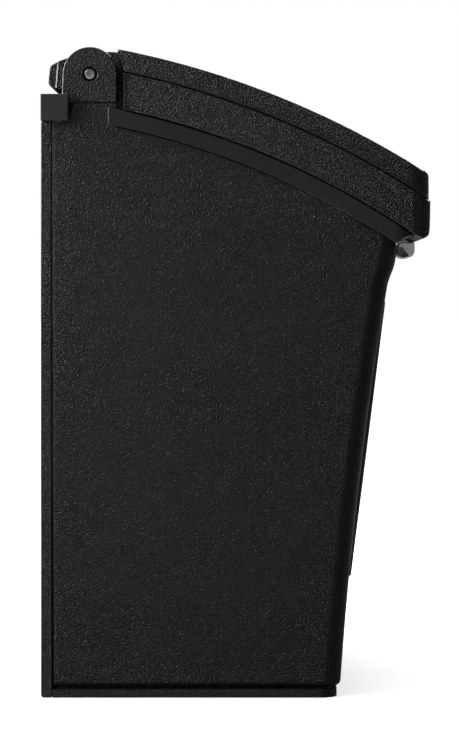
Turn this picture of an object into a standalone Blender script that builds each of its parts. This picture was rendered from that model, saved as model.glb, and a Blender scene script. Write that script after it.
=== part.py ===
"""Pedal trash can: a moulded bin with a hinged two-part lid, a lift-out bucket and a pedal in a toe recess.

World axes: +X to the right, -Y to the front, +Z up. The origin is on the floor under the middle of the box.
Side outlines are written as (d, z): d is the distance forward of the rear face, z the height above the floor.
"""

import math

import bmesh
import bpy
from mathutils import Matrix, Vector

# Overall size
WIDTH = 0.280  # across the lid's skirt
DEPTH = 0.2343  # rear face to the front of the lid's lip
HEIGHT = 0.391  # floor to the top of the hinge ears

# Clearances
GAP = 0.0003  # between pieces that touch
RUN = 0.0006  # round a shaft that turns or slides
CUT = 0.01  # how far a cutter reaches past what it cuts

# Hinge
EAR_RADIUS = 0.0162
EAR_THICKNESS = 0.012
EAR_ROOT_LEAN = 0.0012  # how far the rear edge of an ear leans back at its root
PIN_D = 0.0295
PIN_Z = HEIGHT - EAR_RADIUS
PIN_RADIUS = 0.0031
PIN_RECESS_RADIUS = 0.0046
PIN_RECESS_DEPTH = 0.0026
PIN_END_INSET = 0.0008  # below the ear's outer face
PIN_CHAMFER = 0.0005
DIMPLE_RADIUS = 0.0013
DIMPLE_DEPTH = 0.0008
DIMPLE_TIP = 0.0002
LID_OPEN = math.radians(80)

# Concentric arcs of the lid and the collar, about a centre below and behind the hinge pin
ARC_CENTRE_D = PIN_D - 0.084
ARC_CENTRE_Z = PIN_Z - 0.5060
LID_TOP_RADIUS = 0.5305
CAP_HEIGHT = 0.0128
SKIRT_HEIGHT = 0.0221
COLLAR_HEIGHT = 0.0104
SEAM_RADIUS = LID_TOP_RADIUS - CAP_HEIGHT
LID_FOOT_RADIUS = SEAM_RADIUS - SKIRT_HEIGHT
COLLAR_FOOT_RADIUS = LID_FOOT_RADIUS - COLLAR_HEIGHT

# Shell
WALL = 0.0025
SIDE_STEP = 0.0013  # each of skirt, collar and shell stands this far inside the one above
SIDE_DRAFT = 0.0025  # how much narrower the shell is at its foot, each side
SHELL_FOOT_Z = 0.0066
SHELL_EDGE = 0.003  # rounding at the foot and the rear corners
SMALL_EDGE = 0.0008  # the least rounding of a corner in plan
EAR_ROOT = 0.016  # how far an ear reaches down inside the side wall
FRONT_CORNER = 0.011
FRONT_FOOT_D = DEPTH - 0.0546
FRONT_TOP_D = DEPTH - 0.0213
FRONT_STRAIGHT = 0.55  # share of the front wall's rise that is straight, the rest curves
FRONT_FLARE = 0.0022
FRONT_FLARE_DROP = 0.026  # where the flare starts, below the collar
FRONT_FLARE_RISE = 0.014

# Collar and lip
COLLAR_REAR_D = 0.0405
COLLAR_WALL = 0.003
COLLAR_NOSE = 0.0112  # how far the collar's nose stays behind the lip's front
LIP_DROP = 0.0034  # how far the lip reaches below the collar's nose
LIP_DEPTH = 0.0095
LIP_LINE = (  # (behind the lip's front, above its foot), from the foot up
    (0.0043, 0),
    (0.0013, 0.0018),
    (0.0004, 0.007),
    (0, 0.0225),
)
LID_REAR_D = 0.0501
LID_NOTCH_RADIUS = 0.0207
LID_WALL = 0.0026
LID_FRONT_CORNER = 0.012
LID_SEAM_STEP = 0.0008
LID_SHOULDER = 0.0045  # rounding of the cap's front edge
NOTCH_TOP = 34  # degrees above level where the notch behind the ears starts
NOTCH_FOOT = 5
NOTCH_STEP = 0.0004

# Hood of the lid, over the hinge between the ears
HOOD_WALL = 0.003
HOOD_CHEEK = 0.004
HOOD_GAP = 0.0018
HOOD_TAIL_D = 0.0033
HOOD_FOOT = 0.0105  # below the hinge pin
HOOD_TOP_LINE = (  # (forward of the pin, above it), front to rear
    (0.0165, 0.0144),
    (0.006, 0.0142),
    (-0.006, 0.0130),
    (-0.0145, 0.0105),
    (-0.0190, 0.0090),
)
BUSH_RADIUS = 0.0052
BUSH_FLANGE = 0.0018  # how far its flange stands out
BUSH_FLANGE_THICKNESS = 0.001
WASHER_RADIUS = 0.007
CLIP_RADIUS = 0.0056
CLIP_THICKNESS = 0.0012
CLIP_STANDOFF = 0.004  # from the cheek's inner face

# Liner, a thin skin that closes the lid from below
LINER_RADIUS = SEAM_RADIUS - 0.0012
LINER_THICKNESS = 0.0018
LINER_REAR_D = 0.064
LINER_SIDE_GAP = 0.004
LINER_FRONT_GAP = 0.006
BOSS_RADIUS = 0.004
BOSS_HOLE = 0.014

# Rear rim
REAR_RIM_HEIGHT = 0.0162
REAR_RIM_REACH = 0.0165
REAR_RIM_BAR = 0.0046
REAR_RIM_FOOT_Z = PIN_Z - 0.0282

# Back and base
BACK_THICKNESS = 0.0063
BASE_THICKNESS = 0.0051
BASE_FRONT_INSET = 0.0017
BACK_EDGE = 0.0018
FOOT_RADIUS = 0.008
FOOT_THICKNESS = 0.0026
FOOT_INSET = 0.022
FOOT_REAR_D = 0.036

# Front panel
PANEL_HALF_WIDTH = 0.108
PANEL_FOOT_Z = 0.0702
PANEL_DROP = 0.035  # its top edge, below the front of the collar
PANEL_PROUD_LOW = 0.0018
PANEL_PROUD_HIGH = 0.0010

# Lift mechanism
CRANK_RADIUS = 0.0176
CRANK_PIN_RADIUS = 0.0035
CRANK_HALF_GAP = 0.005
CRANK_PLATE = 0.002
CRANK_EYE = 0.0052
CRANK_WEB = 0.014  # how far its plates reach forward of the crank pin
CRANK_TOP_GAP = 0.0024  # under the cap's inner face
LIFT_ROD_RADIUS = 0.0025
ROD_CAP_CLEARANCE = 0.0007
ROD_CAP_HEIGHT = 0.008
ROD_CAP_HALF_DEPTH = 0.0065
ROD_SOCKET = 0.0027  # plastic left above the rod in its cap
ROD_FOOT_HEIGHT = 0.010
ROD_FOOT_CLEARANCE = 0.0005
ROD_FOOT_FLOOR = 0.004  # plastic left under the rod in its foot
ROD_FOOT_PROFILE = (  # (radius, above its tip), down its outer side
    (0, ROD_FOOT_HEIGHT),
    (0.0055, ROD_FOOT_HEIGHT),
    (0.0055, 0.0045),
    (0.0040, 0.0018),
    (0.0018, 0.0003),
    (0, 0),
)
GUIDE_HALF_WIDTH = 0.011
GUIDE_THICKNESS = 0.004
GUIDE_LOW_Z = 0.112
GUIDE_HIGH_DROP = 0.050  # below the rear rim
GUIDE_FOOT = (-0.012, 0.016)  # its foot's reach below and above
GUIDE_FOOT_THICKNESS = 0.003
GUIDE_WEB_HALF = 0.0015
GUIDE_WEB_DROP = 0.008
GUIDE_PLAY = 0.0004
ROD_D = PIN_D + CRANK_RADIUS * (1 + math.cos(LID_OPEN / 2)) / 2
LIFT = 2 * CRANK_RADIUS * math.sin(LID_OPEN / 2)

# Pedal
AXLE_D = 0.130
AXLE_Z = 0.020
AXLE_RADIUS = 0.003
LEVER_HALF_WIDTH = 0.015
LEVER_THICKNESS = 0.003
HUB_RADIUS = 0.0065
HUB_HALF_WIDTH = 0.024
PEDAL_HALF_WIDTH = 0.046
PEDAL_DEPTH = 0.031
PEDAL_SETBACK = 0.0035  # behind the shell's front wall
TREAD_THICKNESS = 0.004
TREAD_EDGE = 0.0012
PAD_THICKNESS = 0.002
PAD_MARGIN = 0.003
PAD_GROOVES = 4
PAD_GROOVE_HALF = 0.0007
PAD_GROOVE_FLOOR = 0.001
LEVER_TAIL = 0.008  # behind the lift rod
LEVER_SETBACK = 0.004  # behind the tread's front
HUB_PLAY = 0.0002
BEARING_GAP = 0.0015
BEARING_WIDTH = 0.009
BEARING_HALF_FOOT = 0.012
BEARING_RADIUS = 0.0075
AXLE_END = 0.003  # past the bearings
PEDAL_SWING = 2 * math.atan(LIFT / 2 / (AXLE_D - ROD_D))

# Toe recess and the cover over the mechanism
TOE_HALF_WIDTH = 0.060
TOE_TOP_Z = 0.062
COVER_TOP_Z = 0.069
COVER_WALL = 0.0025
COVER_REAR_D = 0.056
COVER_SIDE_GAP = 0.0015
COVER_FRONT_GAP = 0.0012
COVER_WALL_INSET = 0.003
TOE_CORNER = 0.008

# Bucket
BUCKET_WALL = 0.002
BUCKET_RIM_Z = 0.258
BUCKET_REAR_D = 0.056
BUCKET_SIDE_CLEARANCE = 0.0075
BUCKET_FRONT_CLEARANCE = 0.008
BUCKET_TAPER = 0.004
BUCKET_CORNER = 0.018
RIM_FLANGE = 0.003
BUCKET_EDGE = 0.003
BUCKET_FLANGE_HEIGHT = 0.0025
BUCKET_UPRIGHT = 0.010  # its front wall stands upright over this last part of its height
BAIL_LUG_INSET = 0.0040  # its inner face, inside the bucket's wall
BAIL_RADIUS = 0.002
GRIP_RADIUS = 0.004
GRIP_HALF_LENGTH = 0.042
BAIL_BEND = 0.010
BAIL_LUG = 0.007  # its thickness along the pivot
BAIL_LUG_HALF_WIDTH = 0.006

# Screws
SCREW_RADIUS = 0.0016
SCREW_HEAD_RADIUS = 0.0038
SCREW_HEAD_HEIGHT = 0.002
POST_RADIUS = 0.005
POST_INSET = 0.0065
POST_HEIGHT = 0.022
CASE_SCREW_LENGTH = 0.012
LINER_SCREW_LENGTH = 0.010
SOCKET_RADIUS = 0.0014
SOCKET_DEPTH = 0.001
BACK_SCREW_INSET = 0.024
BACK_SCREW_LOW_Z = 0.042
BACK_SCREW_DROP = 0.030  # the upper pair, below the rear rim
LINER_SCREW_X = 0.095
LINER_SCREW_REAR = 0.016  # forward of the liner's rear edge
LINER_SCREW_FRONT = 0.050  # behind the lid's front

# Finger pull under the lip
PULL_HALF_WIDTH = 0.024
PULL_DEPTH = 0.0112
PULL_HEIGHT = 0.0098
PULL_SETBACK = 0.0042  # behind the lip's front
PULL_WALL = 0.0014
PULL_ROOF = 0.0022
PULL_HOLLOW = 0.78  # share of its height that the hollow reaches down
PULL_ROUND = (  # (behind its front, share of its height down), front to rear
    (0, 0.62),
    (0.0012, 0.84),
    (0.0036, 0.97),
    (0.0062, 1),
    (0.0088, 0.93),
    (PULL_DEPTH, 0.76),
)

ROUND = 20  # sides of a round piece
ARC_STEPS = 20  # pieces of a long arc
FINE = 12  # sides of a small round piece
SMALL_HOLE = 10  # sides of a screw's hole

FLAT = math.radians(0.05)  # faces closer than this to one plane become one face
SMOOTH = math.radians(35)  # edges flatter than this are shaded smooth

COLOURS = {
    "grained_plastic": ((0.012, 0.012, 0.013), 0.55, 0.0),
    "smooth_plastic": ((0.016, 0.016, 0.017), 0.42, 0.0),
    "steel": ((0.62, 0.62, 0.60), 0.28, 1.0),
    "zinc": ((0.50, 0.50, 0.48), 0.35, 1.0),
    "rubber": ((0.020, 0.020, 0.020), 0.85, 0.0),
    "bucket_plastic": ((0.060, 0.062, 0.065), 0.50, 0.0),
    "nylon": ((0.55, 0.54, 0.50), 0.45, 0.0),
}


# ---------------------------------------------------------------- geometry of the outlines


def forward(d):
    """World y of a point d forward of the rear face."""
    return DEPTH / 2 - d


def arc_z(radius, d):
    """Height of the lid's arc of this radius at d."""
    return ARC_CENTRE_Z + math.sqrt(radius**2 - (d - ARC_CENTRE_D) ** 2)


def arc_line(radius, start_d, end_d, steps=ARC_STEPS):
    """Points along the lid's arc of this radius, from start_d to end_d."""
    ds = [start_d + (end_d - start_d) * i / steps for i in range(steps + 1)]
    return [(d, arc_z(radius, d)) for d in ds]


def circle_line(centre, radius, start, end, steps):
    """Points on a circle in (d, z), from the angle start to end in degrees, 0 pointing forward."""
    angles = [math.radians(start + (end - start) * i / steps) for i in range(steps + 1)]
    return [(centre[0] + radius * math.cos(a), centre[1] + radius * math.sin(a)) for a in angles]


NOSE_D = DEPTH - COLLAR_NOSE
FRONT_TOP_Z = arc_z(COLLAR_FOOT_RADIUS, FRONT_TOP_D)
LIP_FOOT_Z = arc_z(LID_FOOT_RADIUS, NOSE_D) - LIP_DROP
SKIRT_HALF = WIDTH / 2
CAP_HALF = SKIRT_HALF - LID_SEAM_STEP
COLLAR_HALF = SKIRT_HALF - SIDE_STEP
SHELL_TOP_HALF = COLLAR_HALF - SIDE_STEP
EAR_INNER = SHELL_TOP_HALF - EAR_THICKNESS
HOOD_HALF = EAR_INNER - HOOD_GAP


def side_x(z):
    """Half width of the shell at height z."""
    return SHELL_TOP_HALF - SIDE_DRAFT * (1 - z / HEIGHT)


def front_d(z):
    """Where the shell's concave front wall is at height z."""
    t = z / FRONT_TOP_Z
    rise = FRONT_STRAIGHT * t + (1 - FRONT_STRAIGHT) * t * t
    flare = min(1.0, max(0.0, (z - FRONT_TOP_Z + FRONT_FLARE_DROP) / FRONT_FLARE_RISE))
    return FRONT_FOOT_D + (FRONT_TOP_D - FRONT_FOOT_D) * rise + FRONT_FLARE * flare


def rounded_ring(half_width, rear, front, rear_radius, front_radius, steps=4):
    """Corner points (x, y) of a rectangle from rear to front (both d), anticlockwise from above."""
    rear_y = forward(rear)
    front_y = forward(front)
    corners = (
        (half_width - rear_radius, rear_y - rear_radius, rear_radius, 0),
        (rear_radius - half_width, rear_y - rear_radius, rear_radius, 90),
        (front_radius - half_width, front_y + front_radius, front_radius, 180),
        (half_width - front_radius, front_y + front_radius, front_radius, 270),
    )
    ring = []
    for x, y, radius, start in corners:
        for i in range(steps + 1):
            angle = math.radians(start + 90 * i / steps)
            ring.append((x + radius * math.cos(angle), y + radius * math.sin(angle)))
    return ring


# ---------------------------------------------------------------- making objects


def clear_scene():
    for obj in list(bpy.data.objects):
        bpy.data.objects.remove(obj, do_unlink=True)


def make_collection(name):
    collection = bpy.data.collections.new(name)
    bpy.context.scene.collection.children.link(collection)
    return collection


def make_material(name):
    colour, roughness, metallic = COLOURS[name]
    material = bpy.data.materials.new(name)
    material.use_nodes = True
    shader = material.node_tree.nodes["Principled BSDF"]
    shader.inputs["Base Color"].default_value = (*colour, 1.0)
    shader.inputs["Roughness"].default_value = roughness
    shader.inputs["Metallic"].default_value = metallic
    return material


def add_mesh(name, mesh):
    """A mesh object in the parts' collection."""
    obj = bpy.data.objects.new(name, mesh)
    PARTS.objects.link(obj)
    return obj


def from_bmesh(name, bm):
    mesh = bpy.data.meshes.new(name)
    bm.to_mesh(mesh)
    bm.free()
    return add_mesh(name, mesh)


def flat_solid(name, points, thickness):
    """A flat outline in local XY as a solid of this thickness, centred on its plane."""
    curve = bpy.data.curves.new(name, "CURVE")
    curve.dimensions = "2D"
    curve.fill_mode = "BOTH"
    curve.extrude = thickness / 2
    spline = curve.splines.new("POLY")
    spline.points.add(len(points) - 1)
    for point, (u, v) in zip(spline.points, points):
        point.co = (u, v, 0, 1)
    spline.use_cyclic_u = True
    return curve_to_mesh(name, curve)


def curve_to_mesh(name, curve):
    """The curve's evaluated shape as a mesh object, with its caps welded on."""
    source = bpy.data.objects.new(name + "_curve", curve)
    PARTS.objects.link(source)
    evaluated = source.evaluated_get(bpy.context.evaluated_depsgraph_get())
    mesh = bpy.data.meshes.new_from_object(evaluated)
    bpy.data.objects.remove(source, do_unlink=True)
    bm = bmesh.new()
    bm.from_mesh(mesh)
    bmesh.ops.remove_doubles(bm, verts=bm.verts, dist=1e-6)
    bmesh.ops.dissolve_limit(bm, angle_limit=FLAT, verts=bm.verts, edges=bm.edges)
    bmesh.ops.recalc_face_normals(bm, faces=bm.faces)
    bm.to_mesh(mesh)
    bm.free()
    return add_mesh(name, mesh)


def side_solid(name, outline, x_low, x_high):
    """A side outline of (d, z) points drawn out from x_low to x_high."""
    obj = flat_solid(name, outline, x_high - x_low)
    place = Matrix(
        ((0, 0, -1, (x_low + x_high) / 2), (-1, 0, 0, forward(0)), (0, 1, 0, 0), (0, 0, 0, 1))
    )
    obj.data.transform(place)
    return obj


def plan_solid(name, ring, z_low, z_high):
    """A plan outline of (x, y) points drawn up from z_low to z_high."""
    obj = flat_solid(name, ring, z_high - z_low)
    obj.data.transform(Matrix.Translation((0, 0, (z_low + z_high) / 2)))
    return obj


def loft(name, rings):
    """A closed solid through rings of equal point counts, each a list of (x, y, z)."""
    bm = bmesh.new()
    rows = [[bm.verts.new(point) for point in ring] for ring in rings]
    count = len(rows[0])
    for low, high in zip(rows, rows[1:]):
        for i in range(count):
            j = (i + 1) % count
            bm.faces.new((low[i], low[j], high[j], high[i]))
    bm.faces.new(list(reversed(rows[0])))
    bm.faces.new(rows[-1])
    return from_bmesh(name, bm)


def block(name, x_range, d_range, z_range, bevel=0.0):
    """A box between the given limits, with its edges rounded by bevel."""
    bm = bmesh.new()
    bmesh.ops.create_cube(bm, size=1.0)
    size = (x_range[1] - x_range[0], d_range[1] - d_range[0], z_range[1] - z_range[0])
    middle = (sum(x_range) / 2, forward(sum(d_range) / 2), sum(z_range) / 2)
    bmesh.ops.scale(bm, vec=size, verts=bm.verts)
    bmesh.ops.translate(bm, vec=middle, verts=bm.verts)
    obj = from_bmesh(name, bm)
    if bevel:
        modifier = obj.modifiers.new("rounded", "BEVEL")
        modifier.width = bevel
        modifier.segments = 2
    return obj


AXES = {
    "X": Matrix.Rotation(math.pi / 2, 4, "Y"),
    "Y": Matrix.Rotation(math.pi / 2, 4, "X"),
    "Z": Matrix(),
}


def cylinder(name, axis, middle, radius, length, sides=ROUND, end_radius=None):
    """A cylinder, or a cone to end_radius at its positive end, along a world axis."""
    bm = bmesh.new()
    top = radius if end_radius is None else end_radius
    bmesh.ops.create_cone(
        bm, cap_ends=True, segments=sides, radius1=radius, radius2=top, depth=length
    )
    bmesh.ops.transform(bm, matrix=Matrix.Translation(middle) @ AXES[axis], verts=bm.verts)
    return from_bmesh(name, bm)


def turned(name, profile, middle):
    """A solid of revolution about Z from (radius, z) points that run down its outer side."""
    mesh = bpy.data.meshes.new(name)
    edges = [(i, i + 1) for i in range(len(profile) - 1)]
    mesh.from_pydata([(radius, 0, z) for radius, z in profile], edges, [])
    obj = add_mesh(name, mesh)
    screw = obj.modifiers.new("turned", "SCREW")
    screw.steps = ROUND
    screw.render_steps = ROUND
    screw.use_merge_vertices = True
    screw.merge_threshold = 1e-5
    obj.location = middle
    return obj


def wire(name, points, radius):
    """A round wire along points, as one closed mesh."""
    curve = bpy.data.curves.new(name, "CURVE")
    curve.dimensions = "3D"
    curve.bevel_depth = radius
    curve.bevel_resolution = 2
    curve.use_fill_caps = True
    spline = curve.splines.new("POLY")
    spline.points.add(len(points) - 1)
    for point, place in zip(spline.points, points):
        point.co = (*place, 1)
    return curve_to_mesh(name, curve)


def combine(target, tool, operation):
    """Adds a Boolean to the target; the tool becomes a hidden cutter that follows it."""
    for collection in list(tool.users_collection):
        collection.objects.unlink(tool)
    CUTTERS.objects.link(tool)
    tool.hide_render = True
    tool.display_type = "WIRE"
    tool.parent = target
    tool.matrix_parent_inverse = target.matrix_basis.inverted()
    modifier = target.modifiers.new(operation.lower(), "BOOLEAN")
    modifier.operation = operation
    modifier.object = tool
    modifier.solver = "EXACT"
    return target


def cut(target, *tools):
    for tool in tools:
        combine(target, tool, "DIFFERENCE")
    return target


def join(target, *tools):
    for tool in tools:
        combine(target, tool, "UNION")
    return target


def keep(target, tool):
    return combine(target, tool, "INTERSECT")


def drill(target, axis, middle, radius, length, sides=ROUND):
    """A round hole through the target."""
    return cut(target, cylinder(target.name + "_hole", axis, middle, radius, length, sides))


def finish(obj, material):
    """Gives an object its material and smooth round faces."""
    obj.data.materials.clear()
    obj.data.materials.append(MATERIALS[material])
    obj.data.shade_smooth()
    obj.data.set_sharp_from_angle(angle=SMOOTH)
    return obj


def pivot(name, location, angle=0.0):
    """An empty on a joint's axis, turned about X by angle."""
    empty = bpy.data.objects.new(name, None)
    empty.empty_display_size = 0.02
    PARTS.objects.link(empty)
    empty.location = location
    empty["rest_angle"] = angle
    return empty


def hang_on(empty, objects):
    """Parents objects to a joint's empty where they are, then turns the empty to its rest angle."""
    place = Matrix.Translation(empty.location)
    for obj in objects:
        obj.parent = empty
        obj.matrix_parent_inverse = place.inverted()
    empty.rotation_euler = (empty["rest_angle"], 0, 0)


# ---------------------------------------------------------------- shell and its fixed pieces


def shell_ring(z, inset):
    """A level ring of the shell's outer surface, moved inward by inset."""
    ring = rounded_ring(
        side_x(z) - inset,
        BACK_THICKNESS + GAP + inset,
        front_d(z) - inset,
        max(SHELL_EDGE - inset, SMALL_EDGE),
        max(FRONT_CORNER - inset, SMALL_EDGE),
    )
    return [(x, y, z) for x, y in ring]


def shell_heights():
    """Heights of the loft's rings: even steps up to the flare, closer ones through it."""
    flare_z = FRONT_TOP_Z - FRONT_FLARE_DROP
    low = SHELL_FOOT_Z + SHELL_EDGE
    even = [low + (flare_z - low) * i / 7 for i in range(1, 8)]
    return even + [flare_z + FRONT_FLARE_RISE, FRONT_TOP_Z + 0.004, HEIGHT + CUT]


def ear_outline(root_z):
    """Side outline of a hinge ear, standing on root_z."""
    centre = (PIN_D, PIN_Z)
    rear = (PIN_D - EAR_RADIUS - EAR_ROOT_LEAN, root_z)
    front = (PIN_D + EAR_RADIUS, root_z)
    return [rear] + circle_line(centre, EAR_RADIUS, 180, 0, 24) + [front]


def trim_outline():
    """Everything above the shell's top edge, which leaves the ears standing."""
    ear = ear_outline(REAR_RIM_FOOT_Z - GAP)[:-1]
    ear.append((PIN_D + EAR_RADIUS, arc_z(COLLAR_FOOT_RADIUS - GAP, PIN_D + EAR_RADIUS)))
    arc = arc_line(COLLAR_FOOT_RADIUS - GAP, PIN_D + EAR_RADIUS, DEPTH + CUT)[1:]
    top = HEIGHT + 2 * CUT
    return [(-CUT, top), (-CUT, REAR_RIM_FOOT_Z - GAP)] + ear + arc + [(DEPTH + CUT, top)]


def hinge_bores(target):
    """The pin's hole through both ears and a recess round each of its ends."""
    middle = (0, forward(PIN_D), PIN_Z)
    drill(target, "X", middle, PIN_RADIUS + GAP, WIDTH + 2 * CUT)
    for side in (-1, 1):
        x = side * (SHELL_TOP_HALF - PIN_RECESS_DEPTH + CUT)
        recess = cylinder("pin_recess", "X", (x, *middle[1:]), PIN_RECESS_RADIUS, 2 * CUT)
        cut(target, recess)


def corner_posts():
    """Places (x, d) of the four screw posts inside the shell's foot."""
    x = side_x(0) - POST_INSET
    rear = BACK_THICKNESS + GAP + POST_INSET
    front = front_d(SHELL_FOOT_Z) - POST_INSET - WALL
    return [(side * x, d) for side in (-1, 1) for d in (rear, front)]


def back_screw_places():
    """Places (x, z) of the screws through the back panel."""
    x = side_x(0) - BACK_SCREW_INSET
    heights = (BACK_SCREW_LOW_Z, REAR_RIM_FOOT_Z - BACK_SCREW_DROP)
    return [(side * x, z) for side in (-1, 1) for z in heights]


def outer_shell():
    rings = []
    for degrees in (0, 30, 60):
        angle = math.radians(degrees)
        z = SHELL_FOOT_Z + SHELL_EDGE * (1 - math.cos(angle))
        rings.append(shell_ring(z, SHELL_EDGE * (1 - math.sin(angle))))
    rings.append(shell_ring(SHELL_FOOT_Z + SHELL_EDGE, 0))
    rings += [shell_ring(z, 0) for z in shell_heights()]
    shell = loft("outer_shell", rings)
    inner = [shell_ring(-CUT, WALL)] + [shell_ring(z, WALL) for z in shell_heights()[:-1]]
    inner.append(shell_ring(HEIGHT + 2 * CUT, WALL))
    cut(shell, loft("shell_cavity", inner))
    for side in (-1, 1):
        x_range = sorted((side * EAR_INNER, side * (side_x(PIN_Z) - WALL / 2)))
        join(shell, side_solid("ear", ear_outline(REAR_RIM_FOOT_Z - EAR_ROOT), *x_range))
    for x, d in corner_posts():
        middle = (x, forward(d), SHELL_FOOT_Z + POST_HEIGHT / 2)
        join(shell, cylinder("post", "Z", middle, POST_RADIUS, POST_HEIGHT, FINE))
        foot = (x, forward(d), SHELL_FOOT_Z)
        drill(shell, "Z", foot, SCREW_RADIUS + GAP, POST_HEIGHT, SMALL_HOLE)
    cut(shell, side_solid("shell_trim", trim_outline(), -WIDTH, WIDTH))
    hinge_bores(shell)
    for x, z in back_screw_places():
        rear = (x, forward(BACK_THICKNESS), z)
        drill(shell, "Y", rear, SCREW_RADIUS + GAP, CUT, SMALL_HOLE)
    return finish(cut(shell, toe_opening()), "grained_plastic")


def toe_opening():
    """A block through the front wall whose upper corners are rounded in front view."""
    points = [(-TOE_HALF_WIDTH, -CUT), (TOE_HALF_WIDTH, -CUT)]
    corner_x = TOE_HALF_WIDTH - TOE_CORNER
    for centre_x, start in ((corner_x, 0), (-corner_x, 90)):
        centre = (centre_x, TOE_TOP_Z - TOE_CORNER)
        points += circle_line(centre, TOE_CORNER, start, start + 90, 4)
    reach = DEPTH + CUT - AXLE_D
    obj = flat_solid("toe_opening", points, reach)
    middle_y = forward(AXLE_D + reach / 2)
    place = Matrix(((1, 0, 0, 0), (0, 0, -1, middle_y), (0, 1, 0, 0), (0, 0, 0, 1)))
    obj.data.transform(place)
    return obj


def back_panel():
    top = REAR_RIM_FOOT_Z - GAP
    outline = circle_line((BACK_EDGE, BACK_EDGE), BACK_EDGE, 270, 180, 3)
    outline += [(0, top), (BACK_THICKNESS, top), (BACK_THICKNESS, 0)]
    half = side_x(0)
    panel = side_solid("back_panel", outline, -half, half)
    head = SCREW_HEAD_HEIGHT + GAP
    for x, z in back_screw_places():
        front = (x, forward(BACK_THICKNESS), z)
        drill(panel, "Y", front, SCREW_RADIUS + GAP, 2 * CUT, SMALL_HOLE)
        drill(panel, "Y", (x, forward(0), z), SCREW_HEAD_RADIUS + GAP, 2 * head, 16)
    return finish(panel, "grained_plastic")


def foot_places():
    """Places (x, d) of the rubber feet let into the base plate."""
    x = side_x(0) - FOOT_INSET
    return [(side * x, d) for side in (-1, 1) for d in (FOOT_REAR_D, FRONT_FOOT_D - FOOT_INSET)]


def base_plate():
    front = FRONT_FOOT_D - BASE_FRONT_INSET
    ring = rounded_ring(side_x(0), BACK_THICKNESS + GAP, front, SMALL_EDGE, FRONT_CORNER)
    plate = plan_solid("base_plate", ring, 0, BASE_THICKNESS)
    for x, d in foot_places():
        drill(plate, "Z", (x, forward(d), 0), FOOT_RADIUS + GAP, 2 * (FOOT_THICKNESS + GAP))
    head = SCREW_HEAD_HEIGHT + GAP
    for x, d in corner_posts():
        drill(plate, "Z", (x, forward(d), 0), SCREW_RADIUS + GAP, 2 * CUT, SMALL_HOLE)
        drill(plate, "Z", (x, forward(d), 0), SCREW_HEAD_RADIUS + GAP, 2 * head, 16)
    return finish(plate, "grained_plastic")


def rubber_feet():
    for number, (x, d) in enumerate(foot_places(), 1):
        middle = (x, forward(d), FOOT_THICKNESS / 2)
        finish(cylinder(f"foot_{number}", "Z", middle, FOOT_RADIUS, FOOT_THICKNESS), "rubber")


def screw(name, axis, place, direction, length):
    """A pan-head screw: its head's outer face at place, its shank along direction (+1 or -1)."""
    along = Vector({"X": (1, 0, 0), "Y": (0, 1, 0), "Z": (0, 0, 1)}[axis]) * direction
    start = Vector(place)
    head_middle = start + along * SCREW_HEAD_HEIGHT / 2
    shank_middle = start + along * (SCREW_HEAD_HEIGHT + length) / 2
    shank_length = length + SCREW_HEAD_HEIGHT / 2
    head = cylinder(name, axis, head_middle, SCREW_HEAD_RADIUS, SCREW_HEAD_HEIGHT, 16)
    shank = cylinder(name + "_shank", axis, shank_middle, SCREW_RADIUS, shank_length, SMALL_HOLE)
    socket = cylinder(name + "_socket", axis, start, SOCKET_RADIUS, 2 * SOCKET_DEPTH, 6)
    return finish(cut(join(head, shank), socket), "zinc")


def case_screws():
    for number, (x, z) in enumerate(back_screw_places(), 1):
        screw(f"back_screw_{number}", "Y", (x, forward(GAP), z), -1, CASE_SCREW_LENGTH)
    for number, (x, d) in enumerate(corner_posts(), 1):
        screw(f"base_screw_{number}", "Z", (x, forward(d), GAP), 1, CASE_SCREW_LENGTH)


def front_panel():
    """A flat panel proud of the concave front wall, thinning to its two ends."""
    foot = PANEL_FOOT_Z
    top = FRONT_TOP_Z - PANEL_DROP
    heights = [foot + (top - foot) * i / 10 for i in range(11)]
    inner = [(front_d(z) + GAP, z) for z in heights]
    outer = [
        (front_d(foot) + PANEL_PROUD_LOW, foot + 0.0012),
        (front_d(top) + PANEL_PROUD_HIGH, top - 0.0008),
    ]
    panel = side_solid("front_panel", inner + outer[::-1], -PANEL_HALF_WIDTH, PANEL_HALF_WIDTH)
    return finish(panel, "smooth_plastic")


def rim_collar():
    """The smooth band round the shell's top, under the lid, from ear to ear round the front."""
    top_radius = LID_FOOT_RADIUS - RUN
    foot = arc_line(COLLAR_FOOT_RADIUS, COLLAR_REAR_D, FRONT_TOP_D)
    nose = [(NOSE_D - 0.0039, FRONT_TOP_Z + 0.0031), (NOSE_D, arc_z(top_radius, NOSE_D) - 0.0008)]
    outline = foot + nose + arc_line(top_radius, NOSE_D - 0.0006, COLLAR_REAR_D)
    collar = side_solid("rim_collar", outline, -WIDTH, WIDTH)
    ring = rounded_ring(COLLAR_HALF, COLLAR_REAR_D - CUT, NOSE_D + GAP, 0.001, FRONT_CORNER)
    keep(collar, plan_solid("collar_plan", ring, 0, HEIGHT))
    inner = rounded_ring(
        SHELL_TOP_HALF - COLLAR_WALL, 0, FRONT_TOP_D - COLLAR_WALL, 0.001, FRONT_CORNER - COLLAR_WALL
    )
    cut(collar, plan_solid("collar_mouth", inner, -CUT, HEIGHT + CUT))
    beside_ear = (COLLAR_REAR_D - CUT, PIN_D + EAR_RADIUS + GAP)
    clear = SHELL_TOP_HALF + GAP
    cut(collar, block("ear_room", (-clear, clear), beside_ear, (0, HEIGHT)))
    return finish(collar, "smooth_plastic")


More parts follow.
